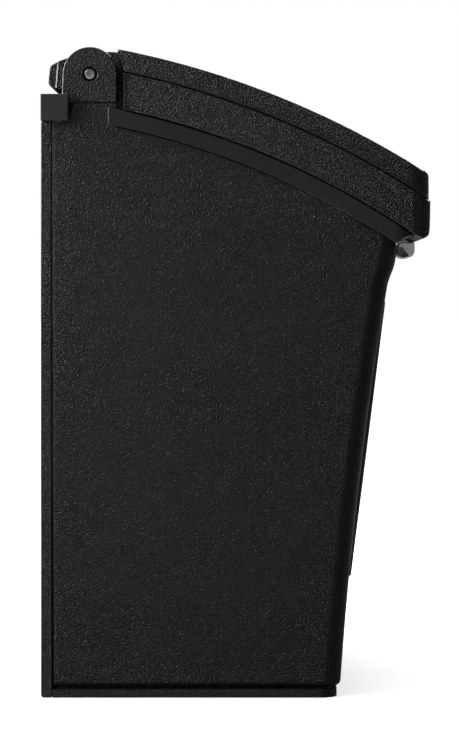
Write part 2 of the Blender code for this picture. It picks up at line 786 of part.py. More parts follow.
def rear_rim():
    """A bar along the rear edge with a short return outside each side wall."""
    z_range = (REAR_RIM_FOOT_Z, REAR_RIM_FOOT_Z + REAR_RIM_HEIGHT)
    rim = block("rear_rim", (-COLLAR_HALF, COLLAR_HALF), (0, REAR_RIM_REACH), z_range)
    clear = SHELL_TOP_HALF + GAP
    room = block("rear_rim_room", (-clear, clear), (REAR_RIM_BAR, 2 * REAR_RIM_REACH), (0, HEIGHT))
    return finish(cut(rim, room), "smooth_plastic")


# ---------------------------------------------------------------- hinge


def hinge_pieces():
    """The rod with a dimple in each end, and the washers and clips on it. They stay with the shell."""
    middle = (0, forward(PIN_D), PIN_Z)
    half = side_x(PIN_Z) - PIN_END_INSET
    rod = cylinder("hinge_rod", "X", middle, PIN_RADIUS, 2 * half, 24)
    bevel = rod.modifiers.new("chamfer", "BEVEL")
    bevel.width = PIN_CHAMFER
    bevel.segments = 2
    bevel.limit_method = "ANGLE"
    bevel.angle_limit = math.radians(60)
    for side in (-1, 1):
        x = side * (half + DIMPLE_DEPTH / 2)
        start, end = (DIMPLE_TIP, DIMPLE_RADIUS)[::side]
        cut(rod, cylinder("dimple", "X", (x, *middle[1:]), start, 3 * DIMPLE_DEPTH, FINE, end))
    finish(rod, "steel")
    for side, word in ((-1, "left"), (1, "right")):
        washer_x = side * (EAR_INNER + HOOD_HALF) / 2
        rod_ring("hinge_washer_" + word, washer_x, WASHER_RADIUS, HOOD_GAP - 2 * RUN, "nylon")
        clip_x = side * (HOOD_HALF - HOOD_CHEEK - CLIP_STANDOFF)
        rod_ring("rod_clip_" + word, clip_x, CLIP_RADIUS, CLIP_THICKNESS, "steel")


def rod_ring(name, x, radius, length, material):
    """A ring on the hinge rod."""
    middle = (x, forward(PIN_D), PIN_Z)
    obj = cylinder(name, "X", middle, radius, length)
    return finish(drill(obj, "X", middle, PIN_RADIUS + GAP, 3 * length), material)


def hinge_bushes():
    """Flanged bushes in the hood's cheeks, which turn on the rod."""
    axis_y, axis_z = forward(PIN_D), PIN_Z
    bushes = []
    for side, word in ((-1, "left"), (1, "right")):
        inner_face = HOOD_HALF - HOOD_CHEEK
        middle = (side * (inner_face + HOOD_HALF) / 2, axis_y, axis_z)
        bush = cylinder("hinge_bush_" + word, "X", middle, BUSH_RADIUS, HOOD_CHEEK - RUN)
        flange_x = side * (inner_face - RUN / 2 - BUSH_FLANGE_THICKNESS / 2)
        flange = (flange_x, axis_y, axis_z)
        neck = (flange_x + side * BUSH_FLANGE_THICKNESS, axis_y, axis_z)
        flange_radius = BUSH_RADIUS + BUSH_FLANGE
        join(
            bush,
            cylinder("flange", "X", flange, flange_radius, BUSH_FLANGE_THICKNESS),
            cylinder("neck", "X", neck, BUSH_RADIUS, 3 * BUSH_FLANGE_THICKNESS),
        )
        drill(bush, "X", middle, PIN_RADIUS + HUB_PLAY, 4 * HOOD_CHEEK)
        bushes.append(finish(bush, "nylon"))
    return bushes


# ---------------------------------------------------------------- lid


def hood_outline(inset=0.0):
    """Side outline of the hood that the cap carries over the hinge, moved inward by inset."""
    tail = HOOD_TAIL_D + inset
    low = PIN_Z - HOOD_FOOT - (CUT if inset else 0)
    joint_d = LID_REAR_D + CUT
    top = [(joint_d, arc_z(LID_TOP_RADIUS - inset, joint_d))]
    top += [(PIN_D + ahead, PIN_Z + above - inset) for ahead, above in HOOD_TOP_LINE]
    rear = [
        (tail + 0.0032, PIN_Z + 0.0070 - inset),
        (tail + 0.0011, PIN_Z + 0.0046 - inset * 0.6),
        (tail + 0.0002, PIN_Z - 0.0045),
    ]
    if inset:
        rear.append((tail + 0.0002, low))
    else:
        rear += [(tail + 0.0014, PIN_Z - 0.0063), (tail + 0.0044, PIN_Z - 0.0080)]
    return top + rear + [(PIN_D, low), (joint_d, low)]


def lid_plan(name, half, front, corner, rear=LID_REAR_D):
    """An upright block with the lid's plan: square at the rear, round at the front corners."""
    return plan_solid(name, rounded_ring(half, rear, front, SMALL_EDGE, corner, 6), 0, HEIGHT + CUT)


def cap_outline():
    """Side outline of the cap in front of the ears, with a round notch behind them."""
    front = DEPTH - LID_SEAM_STEP
    seam = arc_line(SEAM_RADIUS + GAP, LID_REAR_D, front)
    edge = LID_SHOULDER
    shoulder_z = arc_z(LID_TOP_RADIUS, front - edge)
    shoulder = [
        (front, shoulder_z - edge * 1.1),
        (front - edge * 0.12, shoulder_z - edge * 0.55),
        (front - edge * 0.45, shoulder_z - edge * 0.15),
    ]
    notch = circle_line((PIN_D, PIN_Z), LID_NOTCH_RADIUS, NOTCH_TOP, NOTCH_FOOT, 5)
    top = arc_line(LID_TOP_RADIUS, front - edge, PIN_D + EAR_RADIUS + NOTCH_STEP)
    return seam + shoulder + top + notch


def lid_cap():
    cap = side_solid("lid_cap", cap_outline(), -CAP_HALF, CAP_HALF)
    keep(cap, lid_plan("cap_plan", CAP_HALF, DEPTH - LID_SEAM_STEP, LID_FRONT_CORNER, PIN_D))
    join(cap, side_solid("hood", hood_outline(), -HOOD_HALF, HOOD_HALF))
    inner_half = CAP_HALF - LID_WALL
    inner_front = DEPTH - LID_SEAM_STEP - LID_WALL
    top = arc_line(LID_TOP_RADIUS - LID_WALL, inner_front, LID_REAR_D + LID_WALL)
    low = ARC_CENTRE_Z + SEAM_RADIUS * 0.7
    corners = [(LID_REAR_D + LID_WALL, low), (inner_front, low)]
    inside = side_solid("cap_inside", top + corners, -inner_half, inner_half)
    keep(inside, lid_plan("cap_inside_plan", inner_half, inner_front, LID_FRONT_CORNER - LID_WALL))
    cut(cap, inside)
    hood_room = HOOD_HALF - HOOD_CHEEK
    cut(cap, side_solid("hood_inside", hood_outline(HOOD_WALL), -hood_room, hood_room))
    drill(cap, "X", (0, forward(PIN_D), PIN_Z), BUSH_RADIUS + GAP, WIDTH)
    for x, d in liner_screw_places():
        boss_top = arc_z(LID_TOP_RADIUS - LID_WALL / 2, d + BOSS_RADIUS)
        foot = (x, forward(d), liner_z(d))
        middle = (x, forward(d), (liner_z(d) + boss_top) / 2)
        join(cap, cylinder("boss", "Z", middle, BOSS_RADIUS, boss_top - liner_z(d), FINE))
        drill(cap, "Z", foot, SCREW_RADIUS + GAP, BOSS_HOLE, SMALL_HOLE)
    return finish(cap, "grained_plastic")


def liner_z(d):
    """Foot of a cap's boss at d, just clear of the liner's highest point under it."""
    return arc_z(LINER_RADIUS + LINER_THICKNESS, d - BOSS_RADIUS) + GAP


def liner_screw_places():
    """Places (x, d) of the screws that hold the liner to the cap."""
    places = (LINER_REAR_D + LINER_SCREW_REAR, DEPTH - LINER_SCREW_FRONT)
    return [(side * LINER_SCREW_X, d) for side in (-1, 1) for d in places]


def lid_liner():
    """A thin inner skin that closes the lid from below."""
    front = DEPTH - LIP_DEPTH - LINER_FRONT_GAP
    low = arc_line(LINER_RADIUS, LINER_REAR_D, front)
    high = arc_line(LINER_RADIUS + LINER_THICKNESS, front, LINER_REAR_D)
    half = SKIRT_HALF - LID_WALL - LINER_SIDE_GAP
    corner = LID_FRONT_CORNER - LINER_SIDE_GAP
    liner = side_solid("lid_liner", low + high, -half, half)
    keep(liner, lid_plan("liner_plan", half, front, corner, LINER_REAR_D - GAP))
    for x, d in liner_screw_places():
        drill(liner, "Z", (x, forward(d), liner_z(d)), SCREW_RADIUS + GAP, 2 * CUT, SMALL_HOLE)
    return finish(liner, "smooth_plastic")


def liner_screws():
    screws = []
    for number, (x, d) in enumerate(liner_screw_places(), 1):
        head_z = arc_z(LINER_RADIUS, d + SCREW_HEAD_RADIUS) - SCREW_HEAD_HEIGHT - GAP
        place = (x, forward(d), head_z)
        screws.append(screw(f"liner_screw_{number}", "Z", place, 1, LINER_SCREW_LENGTH))
    return screws


def skirt_outline():
    """Side outline of the skirt, with the lip hanging at its front."""
    foot = arc_line(LID_FOOT_RADIUS, LID_REAR_D, NOSE_D + 0.001)
    lip = [(DEPTH - behind, LIP_FOOT_Z + above) for behind, above in LIP_LINE]
    lip.append((DEPTH - 0.0004, arc_z(SEAM_RADIUS, DEPTH) + 0.0001))
    return foot + lip + arc_line(SEAM_RADIUS, DEPTH - 0.0016, LID_REAR_D)


def lid_skirt():
    skirt = side_solid("lid_skirt", skirt_outline(), -SKIRT_HALF, SKIRT_HALF)
    keep(skirt, lid_plan("skirt_plan", SKIRT_HALF, DEPTH + GAP, LID_FRONT_CORNER, LID_REAR_D - GAP))
    half = SKIRT_HALF - LID_WALL
    inner = rounded_ring(
        half, LID_REAR_D + LID_WALL, DEPTH - LIP_DEPTH, 0.001, LID_FRONT_CORNER - LID_WALL
    )
    cut(skirt, plan_solid("skirt_inside", inner, -CUT, HEIGHT + CUT))
    behind = (LID_REAR_D - CUT, LID_REAR_D + 2 * LID_WALL)
    room = HOOD_HALF + GAP
    cut(skirt, block("hood_room", (-room, room), behind, (0, HEIGHT)))
    return finish(skirt, "grained_plastic")


def pull_outline():
    """A half-round seen from the side: flat on top, upright in front, round below and behind."""
    front = DEPTH - PULL_SETBACK
    rear = front - PULL_DEPTH
    top = LIP_FOOT_Z - GAP
    bottom = [(front - behind, top - PULL_HEIGHT * share) for behind, share in PULL_ROUND]
    return [(front, top)] + bottom + [(rear + 0.0012, top - 0.0005), (rear + 0.0042, top)]


def finger_pull():
    """A light half-round scoop under the middle of the lip, hollow on its inner side."""
    pull = side_solid("finger_pull", pull_outline(), -PULL_HALF_WIDTH, PULL_HALF_WIDTH)
    front = DEPTH - PULL_SETBACK - PULL_WALL
    rear = front - 2 * PULL_DEPTH
    high = LIP_FOOT_Z - PULL_ROOF
    low = LIP_FOOT_Z - PULL_HEIGHT * PULL_HOLLOW
    hollow = [(front, high), (front, low + 0.001), (front - 0.003, low), (rear, low), (rear, high)]
    half = PULL_HALF_WIDTH - PULL_WALL
    return finish(cut(pull, side_solid("pull_hollow", hollow, -half, half)), "zinc")


# ---------------------------------------------------------------- lift mechanism


def crank_centre():
    """Rest place (d, z) of the crank pin: half the lid's swing below the level of the hinge pin."""
    down = LID_OPEN / 2
    return PIN_D + CRANK_RADIUS * math.cos(down), PIN_Z - CRANK_RADIUS * math.sin(down)


def crank_bracket():
    """Two cheeks under the hood, joined by a web, that carry the crank pin."""
    d, z = crank_centre()
    top = arc_z(LID_TOP_RADIUS - LID_WALL, LID_REAR_D + 0.02) - CRANK_TOP_GAP
    eye = circle_line((d, z), CRANK_EYE, 180, 360, FINE)
    front = d + CRANK_WEB
    outline = [(d - CRANK_EYE, top)] + eye + [(front, top - 2 * CRANK_PLATE), (front, top)]
    outer = CRANK_HALF_GAP + CRANK_PLATE
    bracket = side_solid("crank_bracket", outline, -outer, outer)
    between = (-CRANK_HALF_GAP, CRANK_HALF_GAP)
    slot = block("crank_slot", between, (d - 0.02, d + 0.03), (z - 0.02, top - CRANK_PLATE))
    cut(bracket, slot)
    drill(bracket, "X", (0, forward(d), z), CRANK_PIN_RADIUS + GAP, 4 * outer, 16)
    return finish(bracket, "zinc")


def crank_pin():
    d, z = crank_centre()
    length = 2 * (CRANK_HALF_GAP + CRANK_PLATE) + CRANK_PLATE
    pin = cylinder("crank_pin", "X", (0, forward(d), z), CRANK_PIN_RADIUS, length)
    return finish(pin, "steel")


def rod_pieces():
    """The lift rod with a block on top, under the crank pin, and a round foot on the lever's tip."""
    y = forward(ROD_D)
    bore = LIFT_ROD_RADIUS + GAP
    cap_top = crank_centre()[1] - CRANK_PIN_RADIUS - ROD_CAP_CLEARANCE
    cap_low = cap_top - ROD_CAP_HEIGHT
    low = lever_top_at_rod() + ROD_FOOT_CLEARANCE
    rod_low = low + ROD_FOOT_FLOOR
    rod_high = cap_top - ROD_SOCKET - GAP
    middle = (0, y, (rod_low + rod_high) / 2)
    rod = cylinder("lift_rod", "Z", middle, LIFT_ROD_RADIUS, rod_high - rod_low, FINE)
    half_x = CRANK_HALF_GAP - SMALL_EDGE
    depth = (ROD_D - ROD_CAP_HALF_DEPTH, ROD_D + ROD_CAP_HALF_DEPTH)
    cap = block("rod_cap", (-half_x, half_x), depth, (cap_low, cap_top))
    drill(cap, "Z", (0, y, cap_low), bore, 2 * (ROD_CAP_HEIGHT - ROD_SOCKET), FINE)
    foot = turned("rod_foot", ROD_FOOT_PROFILE, (0, y, low))
    drill(foot, "Z", (0, y, rod_low - GAP + CUT), bore, 2 * CUT, FINE)
    return [finish(rod, "steel"), finish(cap, "nylon"), finish(foot, "nylon")]


def rod_guides():
    """Brackets on the shell's rear wall with a hole that the rod slides in."""
    wall_d = BACK_THICKNESS + GAP + WALL + GAP
    foot_x = (-GUIDE_HALF_WIDTH - GUIDE_PLAY, GUIDE_HALF_WIDTH + GUIDE_PLAY)
    reach = (wall_d, ROD_D + ROD_CAP_HALF_DEPTH)
    foot_d = (wall_d, wall_d + GUIDE_FOOT_THICKNESS)
    web_d = (wall_d + GUIDE_FOOT_THICKNESS / 2, ROD_D - ROD_CAP_HALF_DEPTH)
    for word, z in (("lower", GUIDE_LOW_Z), ("upper", REAR_RIM_FOOT_Z - GUIDE_HIGH_DROP)):
        name = "rod_guide_" + word
        width = (-GUIDE_HALF_WIDTH, GUIDE_HALF_WIDTH)
        guide = block(name, width, reach, (z, z + GUIDE_THICKNESS))
        foot = block("guide_foot", foot_x, foot_d, (z + GUIDE_FOOT[0], z + GUIDE_FOOT[1]))
        web_z = (z - GUIDE_WEB_DROP, z + GUIDE_THICKNESS / 4)
        join(guide, foot, block("guide_web", (-GUIDE_WEB_HALF, GUIDE_WEB_HALF), web_d, web_z))
        drill(guide, "Z", (0, forward(ROD_D), z), LIFT_ROD_RADIUS + GUIDE_PLAY, 3 * CUT, FINE)
        finish(guide, "nylon")


# ---------------------------------------------------------------- pedal


def lever_top_at_rod():
    """Height of the tilted lever's upper face under the lift rod, at rest."""
    tilt = PEDAL_SWING / 2
    return AXLE_Z - (AXLE_D - ROD_D) * math.tan(tilt) + LEVER_THICKNESS / 2 / math.cos(tilt)


def pedal_front_d():
    return front_d(AXLE_Z) - PEDAL_SETBACK


def pedal_lever():
    """A flat bar with a hub on the axle, modelled level and turned to rest with its pivot."""
    half = LEVER_THICKNESS / 2
    width = (-LEVER_HALF_WIDTH, LEVER_HALF_WIDTH)
    span = (ROD_D - LEVER_TAIL, pedal_front_d() - LEVER_SETBACK)
    lever = block("pedal_lever", width, span, (AXLE_Z - half, AXLE_Z + half))
    middle = (0, forward(AXLE_D), AXLE_Z)
    join(lever, cylinder("hub", "X", middle, HUB_RADIUS, 2 * HUB_HALF_WIDTH))
    drill(lever, "X", middle, AXLE_RADIUS + HUB_PLAY, 4 * HUB_HALF_WIDTH)
    return finish(lever, "zinc")


def pedal_tread():
    front = pedal_front_d()
    low = AXLE_Z + LEVER_THICKNESS / 2 + GAP
    width = (-PEDAL_HALF_WIDTH, PEDAL_HALF_WIDTH)
    height = (low, low + TREAD_THICKNESS)
    tread = block("pedal_tread", width, (front - PEDAL_DEPTH, front), height, TREAD_EDGE)
    return finish(tread, "smooth_plastic")


def pedal_pad():
    """A ribbed rubber pad on the tread."""
    front = pedal_front_d() - PAD_MARGIN
    rear = front - PEDAL_DEPTH + 2 * PAD_MARGIN
    low = AXLE_Z + LEVER_THICKNESS / 2 + TREAD_THICKNESS + 2 * GAP
    half = PEDAL_HALF_WIDTH - PAD_MARGIN
    pad = block("pedal_pad", (-half, half), (rear, front), (low, low + PAD_THICKNESS))
    pitch = (front - rear) / (PAD_GROOVES + 1)
    for i in range(PAD_GROOVES):
        d = rear + pitch * (i + 1)
        across = (-half - CUT, half + CUT)
        along = (d - PAD_GROOVE_HALF, d + PAD_GROOVE_HALF)
        cut(pad, block("groove", across, along, (low + PAD_GROOVE_FLOOR, low + CUT)))
    return finish(pad, "rubber")


def axle_pieces():
    """The axle and the two bearing blocks that hold it on the base plate."""
    middle = (0, forward(AXLE_D), AXLE_Z)
    inner = HUB_HALF_WIDTH + BEARING_GAP
    outer = inner + BEARING_WIDTH
    axle = cylinder("pedal_axle", "X", middle, AXLE_RADIUS, 2 * (outer + AXLE_END), 16)
    finish(axle, "steel")
    low = BASE_THICKNESS + GAP
    head = circle_line((AXLE_D, AXLE_Z), BEARING_RADIUS, 0, 180, 10)
    outline = [(AXLE_D - BEARING_HALF_FOOT, low), (AXLE_D + BEARING_HALF_FOOT, low)] + head
    for side, word in ((-1, "left"), (1, "right")):
        x_range = sorted((side * inner, side * outer))
        bearing = side_solid("axle_bearing_" + word, outline, *x_range)
        drill(bearing, "X", middle, AXLE_RADIUS + GAP, 4 * outer, 16)
        finish(bearing, "nylon")


def mechanism_cover():
    """A flat deck that the bucket stands on, with two walls down beside the toe recess."""
    roof = (COVER_TOP_Z - COVER_WALL, COVER_TOP_Z)
    half = side_x(COVER_TOP_Z) - WALL - COVER_SIDE_GAP
    front = front_d(roof[0]) - WALL - COVER_FRONT_GAP
    plan = rounded_ring(half, COVER_REAR_D, front, SMALL_EDGE, FRONT_CORNER - WALL)
    cover = plan_solid("mechanism_cover", plan, *roof)
    low = BASE_THICKNESS + GAP
    high = roof[0] + COVER_WALL / 2
    rear = COVER_REAR_D + COVER_WALL_INSET
    foot_front = front_d(low) - WALL - COVER_FRONT_GAP - COVER_WALL_INSET
    outline = [(rear, low), (foot_front, low), (front - COVER_WALL_INSET, high), (rear, high)]
    inner = TOE_HALF_WIDTH + RUN
    for side in (-1, 1):
        x_range = sorted((side * inner, side * (inner + COVER_WALL)))
        join(cover, side_solid("cover_wall", outline, *x_range))
    return finish(cover, "smooth_plastic")


# ---------------------------------------------------------------- bucket


def bucket_ring(z, inset, flange=0.0):
    """A level ring of the bucket's outer surface."""
    foot_z = COVER_TOP_Z + GAP
    taper = BUCKET_TAPER * (BUCKET_RIM_Z - z) / (BUCKET_RIM_Z - foot_z)
    half = side_x(0) - WALL - BUCKET_SIDE_CLEARANCE - taper
    front = front_d(min(z, BUCKET_RIM_Z - BUCKET_UPRIGHT)) - WALL - BUCKET_FRONT_CLEARANCE
    out = flange - inset
    corner = BUCKET_CORNER - inset
    plan = rounded_ring(half + out, BUCKET_REAR_D + taper - out, front + out, corner, corner)
    return [(x, y, z) for x, y in plan]


def inner_bucket():
    foot_z = COVER_TOP_Z + GAP
    flange_z = BUCKET_RIM_Z - BUCKET_FLANGE_HEIGHT
    levels = [foot_z + (flange_z - foot_z) * i / 4 for i in range(1, 5)]
    rings = [bucket_ring(foot_z, BUCKET_EDGE), bucket_ring(foot_z + BUCKET_EDGE, 0)]
    rings += [bucket_ring(z, 0) for z in levels]
    rings += [bucket_ring(z, 0, RIM_FLANGE) for z in (flange_z + GAP, BUCKET_RIM_Z)]
    bucket = loft("inner_bucket", rings)
    inside = [bucket_ring(foot_z + BUCKET_WALL, BUCKET_WALL + BUCKET_EDGE)]
    inside += [bucket_ring(z, BUCKET_WALL) for z in levels]
    inside.append(bucket_ring(BUCKET_RIM_Z + CUT, BUCKET_WALL))
    cut(bucket, loft("bucket_inside", inside))
    x, d, z = bail_pivot()
    lug_d = (d - BAIL_LUG_HALF_WIDTH, d + BAIL_LUG_HALF_WIDTH)
    lug_z = (BUCKET_RIM_Z - BUCKET_FLANGE_HEIGHT - RIM_FLANGE, z + GRIP_RADIUS + GAP)
    for side in (-1, 1):
        lug_x = sorted((side * x, side * (x + BAIL_LUG)))
        join(bucket, block("bail_lug", lug_x, lug_d, lug_z))
    drill(bucket, "X", (0, forward(d), z), BAIL_RADIUS + GAP, WIDTH, FINE)
    return finish(bucket, "bucket_plastic")


def bail_pivot():
    """Inner face of the bail's lugs and the place of its pivot: (x, d, z)."""
    half = side_x(0) - WALL - BUCKET_SIDE_CLEARANCE - BUCKET_WALL
    front = front_d(BUCKET_RIM_Z - BUCKET_UPRIGHT) - WALL - BUCKET_FRONT_CLEARANCE
    middle = (BUCKET_REAR_D + front) / 2
    return half - BAIL_LUG_INSET, middle, BUCKET_RIM_Z + GRIP_RADIUS + GAP


def bail_pieces():
    """A wire bail lying over the bucket's front rim, and the grip tube on its middle."""
    x, d, z = bail_pivot()
    arm_x = x - BAIL_RADIUS - RUN
    reach = d - BUCKET_REAR_D - BAIL_RADIUS
    knee = BAIL_RADIUS * 0.75
    half_path = [(x + BAIL_LUG - knee, d), (arm_x + knee, d), (arm_x, d + knee)]
    centre = (arm_x - BAIL_BEND, d + reach - BAIL_BEND)
    half_path += circle_line(centre, BAIL_BEND, 0, 90, 4)
    points = [(side_place, forward(path_d), z) for side_place, path_d in half_path]
    points += [(-px, py, pz) for px, py, pz in reversed(points)]
    bail = finish(wire("bucket_bail", points, BAIL_RADIUS), "steel")
    middle = (0, forward(d + reach), z)
    grip = cylinder("bail_grip", "X", middle, GRIP_RADIUS, 2 * GRIP_HALF_LENGTH, 16)
    drill(grip, "X", middle, BAIL_RADIUS + GAP, 3 * GRIP_HALF_LENGTH, FINE)
    return [bail, finish(grip, "smooth_plastic")]


# ---------------------------------------------------------------- assembly


def build():
    outer_shell()
    rim_collar()
    rear_rim()
    back_panel()
    base_plate()
    rubber_feet()
    case_screws()
    front_panel()
    hinge_pieces()
    rod_guides()
    axle_pieces()
    mechanism_cover()
    lid_pieces = [lid_cap(), lid_skirt(), lid_liner(), finger_pull(), crank_bracket(), crank_pin()]
    lid_pieces += hinge_bushes() + liner_screws()
    hang_on(pivot("lid_pivot", (0, forward(PIN_D), PIN_Z)), lid_pieces)
    tilt = -PEDAL_SWING / 2
    pedal_pieces = [pedal_lever(), pedal_tread(), pedal_pad()]
    hang_on(pivot("pedal_pivot", (0, forward(AXLE_D), AXLE_Z), tilt), pedal_pieces)
    hang_on(pivot("rod_slide", (0, forward(ROD_D), 0)), rod_pieces())
    hang_on(pivot("bucket_slide", (0, forward(BUCKET_REAR_D), COVER_TOP_Z)), [inner_bucket()])
    _, bail_d, bail_z = bail_pivot()
    hang_on(pivot("bail_pivot", (0, forward(bail_d), bail_z)), bail_pieces())


clear_scene()
PARTS = make_collection("pedal_trash_can")
CUTTERS = make_collection("cutters")
MATERIALS = {name: make_material(name) for name in COLOURS}
build()
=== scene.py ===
"""Looks of the pedal trash can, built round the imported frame.

World axes: +X to the right, -Y to the front, +Z up, with the floor at z = 0.
Side outlines are written as (d, z): d is the distance forward of the rear face, z the height above the floor.
"""

import math

import bmesh
import bpy
from mathutils import Matrix, Vector


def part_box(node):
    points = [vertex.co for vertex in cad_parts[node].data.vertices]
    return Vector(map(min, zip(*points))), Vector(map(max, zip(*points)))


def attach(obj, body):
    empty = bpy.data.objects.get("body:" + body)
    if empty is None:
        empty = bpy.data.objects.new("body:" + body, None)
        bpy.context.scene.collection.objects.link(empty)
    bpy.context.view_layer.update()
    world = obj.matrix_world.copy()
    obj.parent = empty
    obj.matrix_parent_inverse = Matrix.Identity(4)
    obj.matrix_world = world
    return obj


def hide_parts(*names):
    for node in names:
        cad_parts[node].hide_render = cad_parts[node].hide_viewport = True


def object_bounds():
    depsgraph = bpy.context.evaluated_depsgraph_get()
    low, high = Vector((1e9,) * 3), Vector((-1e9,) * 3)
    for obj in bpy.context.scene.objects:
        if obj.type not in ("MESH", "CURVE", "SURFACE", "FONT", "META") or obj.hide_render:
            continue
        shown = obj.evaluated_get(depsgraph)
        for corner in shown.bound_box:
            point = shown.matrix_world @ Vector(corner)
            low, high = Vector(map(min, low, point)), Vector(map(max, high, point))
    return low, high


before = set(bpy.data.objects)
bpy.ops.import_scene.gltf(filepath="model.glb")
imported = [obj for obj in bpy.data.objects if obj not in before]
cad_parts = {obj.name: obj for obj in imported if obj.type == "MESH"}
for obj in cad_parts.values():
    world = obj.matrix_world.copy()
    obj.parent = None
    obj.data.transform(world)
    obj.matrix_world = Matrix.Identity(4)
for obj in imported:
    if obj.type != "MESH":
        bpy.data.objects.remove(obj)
CAD_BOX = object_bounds()

# Overall size and the hinge, from the frame
WIDTH = CAD_BOX[1].x - CAD_BOX[0].x
DEPTH = CAD_BOX[1].y - CAD_BOX[0].y
HEIGHT = CAD_BOX[1].z
ROD_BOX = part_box("hinge_rod")
PIN_D = DEPTH / 2 - (ROD_BOX[0].y + ROD_BOX[1].y) / 2
PIN_Z = (ROD_BOX[0].z + ROD_BOX[1].z) / 2
PIN_RADIUS = (ROD_BOX[1].z - ROD_BOX[0].z) / 2

# Clearances, as in the part
GAP = 0.0003
RUN = 0.0006  # between the lid and the collar
CUT = 0.01  # overrun of cutters

# Hinge
EAR_RADIUS = HEIGHT - PIN_Z
EAR_THICKNESS = 0.012
EAR_ROOT_LEAN = 0.0012
PIN_RECESS_RADIUS = 0.0046
PIN_RECESS_DEPTH = 0.0026
BUSH_RADIUS = 0.0052
ROD_END_INSET = 0.0008

# Concentric arcs of the lid and the collar
ARC_CENTRE_D = PIN_D - 0.084
ARC_CENTRE_Z = PIN_Z - 0.5060
LID_TOP_RADIUS = 0.5305
SEAM_RADIUS = LID_TOP_RADIUS - 0.0128
LID_FOOT_RADIUS = SEAM_RADIUS - 0.0221
COLLAR_FOOT_RADIUS = LID_FOOT_RADIUS - 0.0104

# Shell
WALL = 0.0025
SIDE_STEP = 0.0013
SIDE_DRAFT = 0.0025
SHELL_FOOT_Z = 0.0066
SHELL_EDGE = 0.003
FRONT_CORNER = 0.011
FRONT_FOOT_D = DEPTH - 0.0546
FRONT_TOP_D = DEPTH - 0.0213
FRONT_STRAIGHT = 0.55
FRONT_FLARE = 0.0022
FRONT_FLARE_DROP = 0.026
FRONT_FLARE_RISE = 0.014
TOE_HALF_WIDTH = 0.060
TOE_TOP_Z = 0.062
TOE_CORNER = 0.008
TOE_REAR_D = 0.130

# Screw posts inside the shell's foot
POST_INSET = 0.0065
POST_RADIUS = 0.005
POST_HEIGHT = 0.022
POST_ROOM_RADIUS = 0.0056  # kept clear round each post's foot

# Collar and lip
COLLAR_REAR_D = 0.0405
COLLAR_WALL = 0.003
NOSE_D = DEPTH - 0.0112
LIP_DROP = 0.0034
LIP_DEPTH = 0.0095
LID_REAR_D = 0.0501
LID_NOTCH_RADIUS = 0.0207
LID_WALL = 0.0026
LID_FRONT_CORNER = 0.012
LID_SEAM_STEP = 0.0008
SEAM_GROOVE = 0.0004  # the skirt stops short of the cap by this much more

# Hood of the lid
HOOD_WALL = 0.003
HOOD_CHEEK = 0.004
HOOD_GAP = 0.0018
HOOD_TAIL_D = 0.0033
HOOD_DROP = 0.0105  # from the hinge axis to the hood's foot
HOOD_MEET = (0.0165, 0.0146)  # where the hood meets the cap's top, from the hinge axis
HOOD_MEET_REACH = 0.002

# Rear rim, back and base
REAR_RIM_HEIGHT = 0.0162
REAR_RIM_REACH = 0.0165
REAR_RIM_BAR = 0.0046
REAR_RIM_FOOT_Z = PIN_Z - 0.0282
BACK_THICKNESS = 0.0063
BACK_EDGE = 0.0018
BASE_THICKNESS = 0.0051
BASE_FRONT_INSET = 0.0017
FOOT_RADIUS = 0.008
FOOT_SINK = 0.0026
FOOT_INSET = 0.022
FOOT_REAR_D = 0.036

# Front panel
PANEL_HALF_WIDTH = 0.108
PANEL_FOOT_Z = 0.0702
PANEL_DROP = 0.035
PANEL_PROUD_LOW = 0.0018
PANEL_PROUD_HIGH = 0.0010
PANEL_FOOT_CHAMFER = 0.0012
PANEL_TOP_CHAMFER = 0.0008

# Screws
SCREW_RADIUS = 0.0016
SCREW_HEAD_RADIUS = 0.0038
SCREW_HEAD_HEIGHT = 0.002
BACK_SCREW_INSET = 0.024
BACK_SCREW_LOW_Z = 0.042
BACK_SCREW_TOP_Z = REAR_RIM_FOOT_Z - 0.030

# Finger pull
PULL_HALF_WIDTH = 0.024
PULL_DEPTH = 0.0112
PULL_HEIGHT = 0.0098
PULL_WALL = 0.0014
PULL_FRONT_D = DEPTH - 0.0042

# Small shapes of the mouldings
POCKET = ((0.0165, 0.3585), (0.0203, 0.3585), (0.0195, 0.3540), (0.0168, 0.3483))  # beside the rear rim
POCKET_DEPTH = 0.0020
EAR_STEP_Z = PIN_Z - 0.0190  # a shallow step across the foot of each ear
EAR_STEP_HEIGHT = 0.0030
EAR_STEP_DEPTH = 0.0007
CHEEK_TOP = (0.0100, HEIGHT)  # the rear edge of the hood's cheeks, in front of its narrower tail
CHEEK_FOOT = (0.0079, PIN_Z - HOOD_DROP)
TAIL_INSET = 0.0016
UPSTAND_HEIGHT = 0.005  # an inner rim on the base plate, behind the groove
UPSTAND_WALL = 0.0016
PULL_CREASE = ((0.2217, 0.2729), (0.2258, 0.2678))  # the lower edge of the pull's ends at full width
PULL_CREASE_STEP = (0.0012, 0.0010)
PULL_CREASE_DEPTH = 0.0020  # how far in the ends are cut below the crease
PULL_END_WALL = 0.0040  # thickness of the ends of the hollow, more than the crease is deep

# Radii of the rounded edges
SHELL_ROUND = 0.0007
CAP_ROUND = 0.0010
LID_ROUND = 0.0006
EDGE_ROUND = 0.0005
PULL_ROUND = 0.0004
PANEL_ROUND = 0.00035
FINE_ROUND = 0.0003
NODE_ROUND = 0.0004

# Fineness
ARC_STEPS = 48
LOFT_STEPS = 24
FLARE_STEPS = 6
SHELL_CORNER_STEPS = 10
LID_CORNER_STEPS = 12
SMALL_ARC_STEPS = 8
ROUND = 48  # sides of a full circle
HEAD_SIDES = 32
POST_SIDES = 24
SCREW_SIDES = 16
SHARP = math.radians(30)  # edges sharper than this are rounded
FLAT = math.radians(0.05)  # faces flatter than this are merged
MERGE = 1e-4  # points closer than this are joined


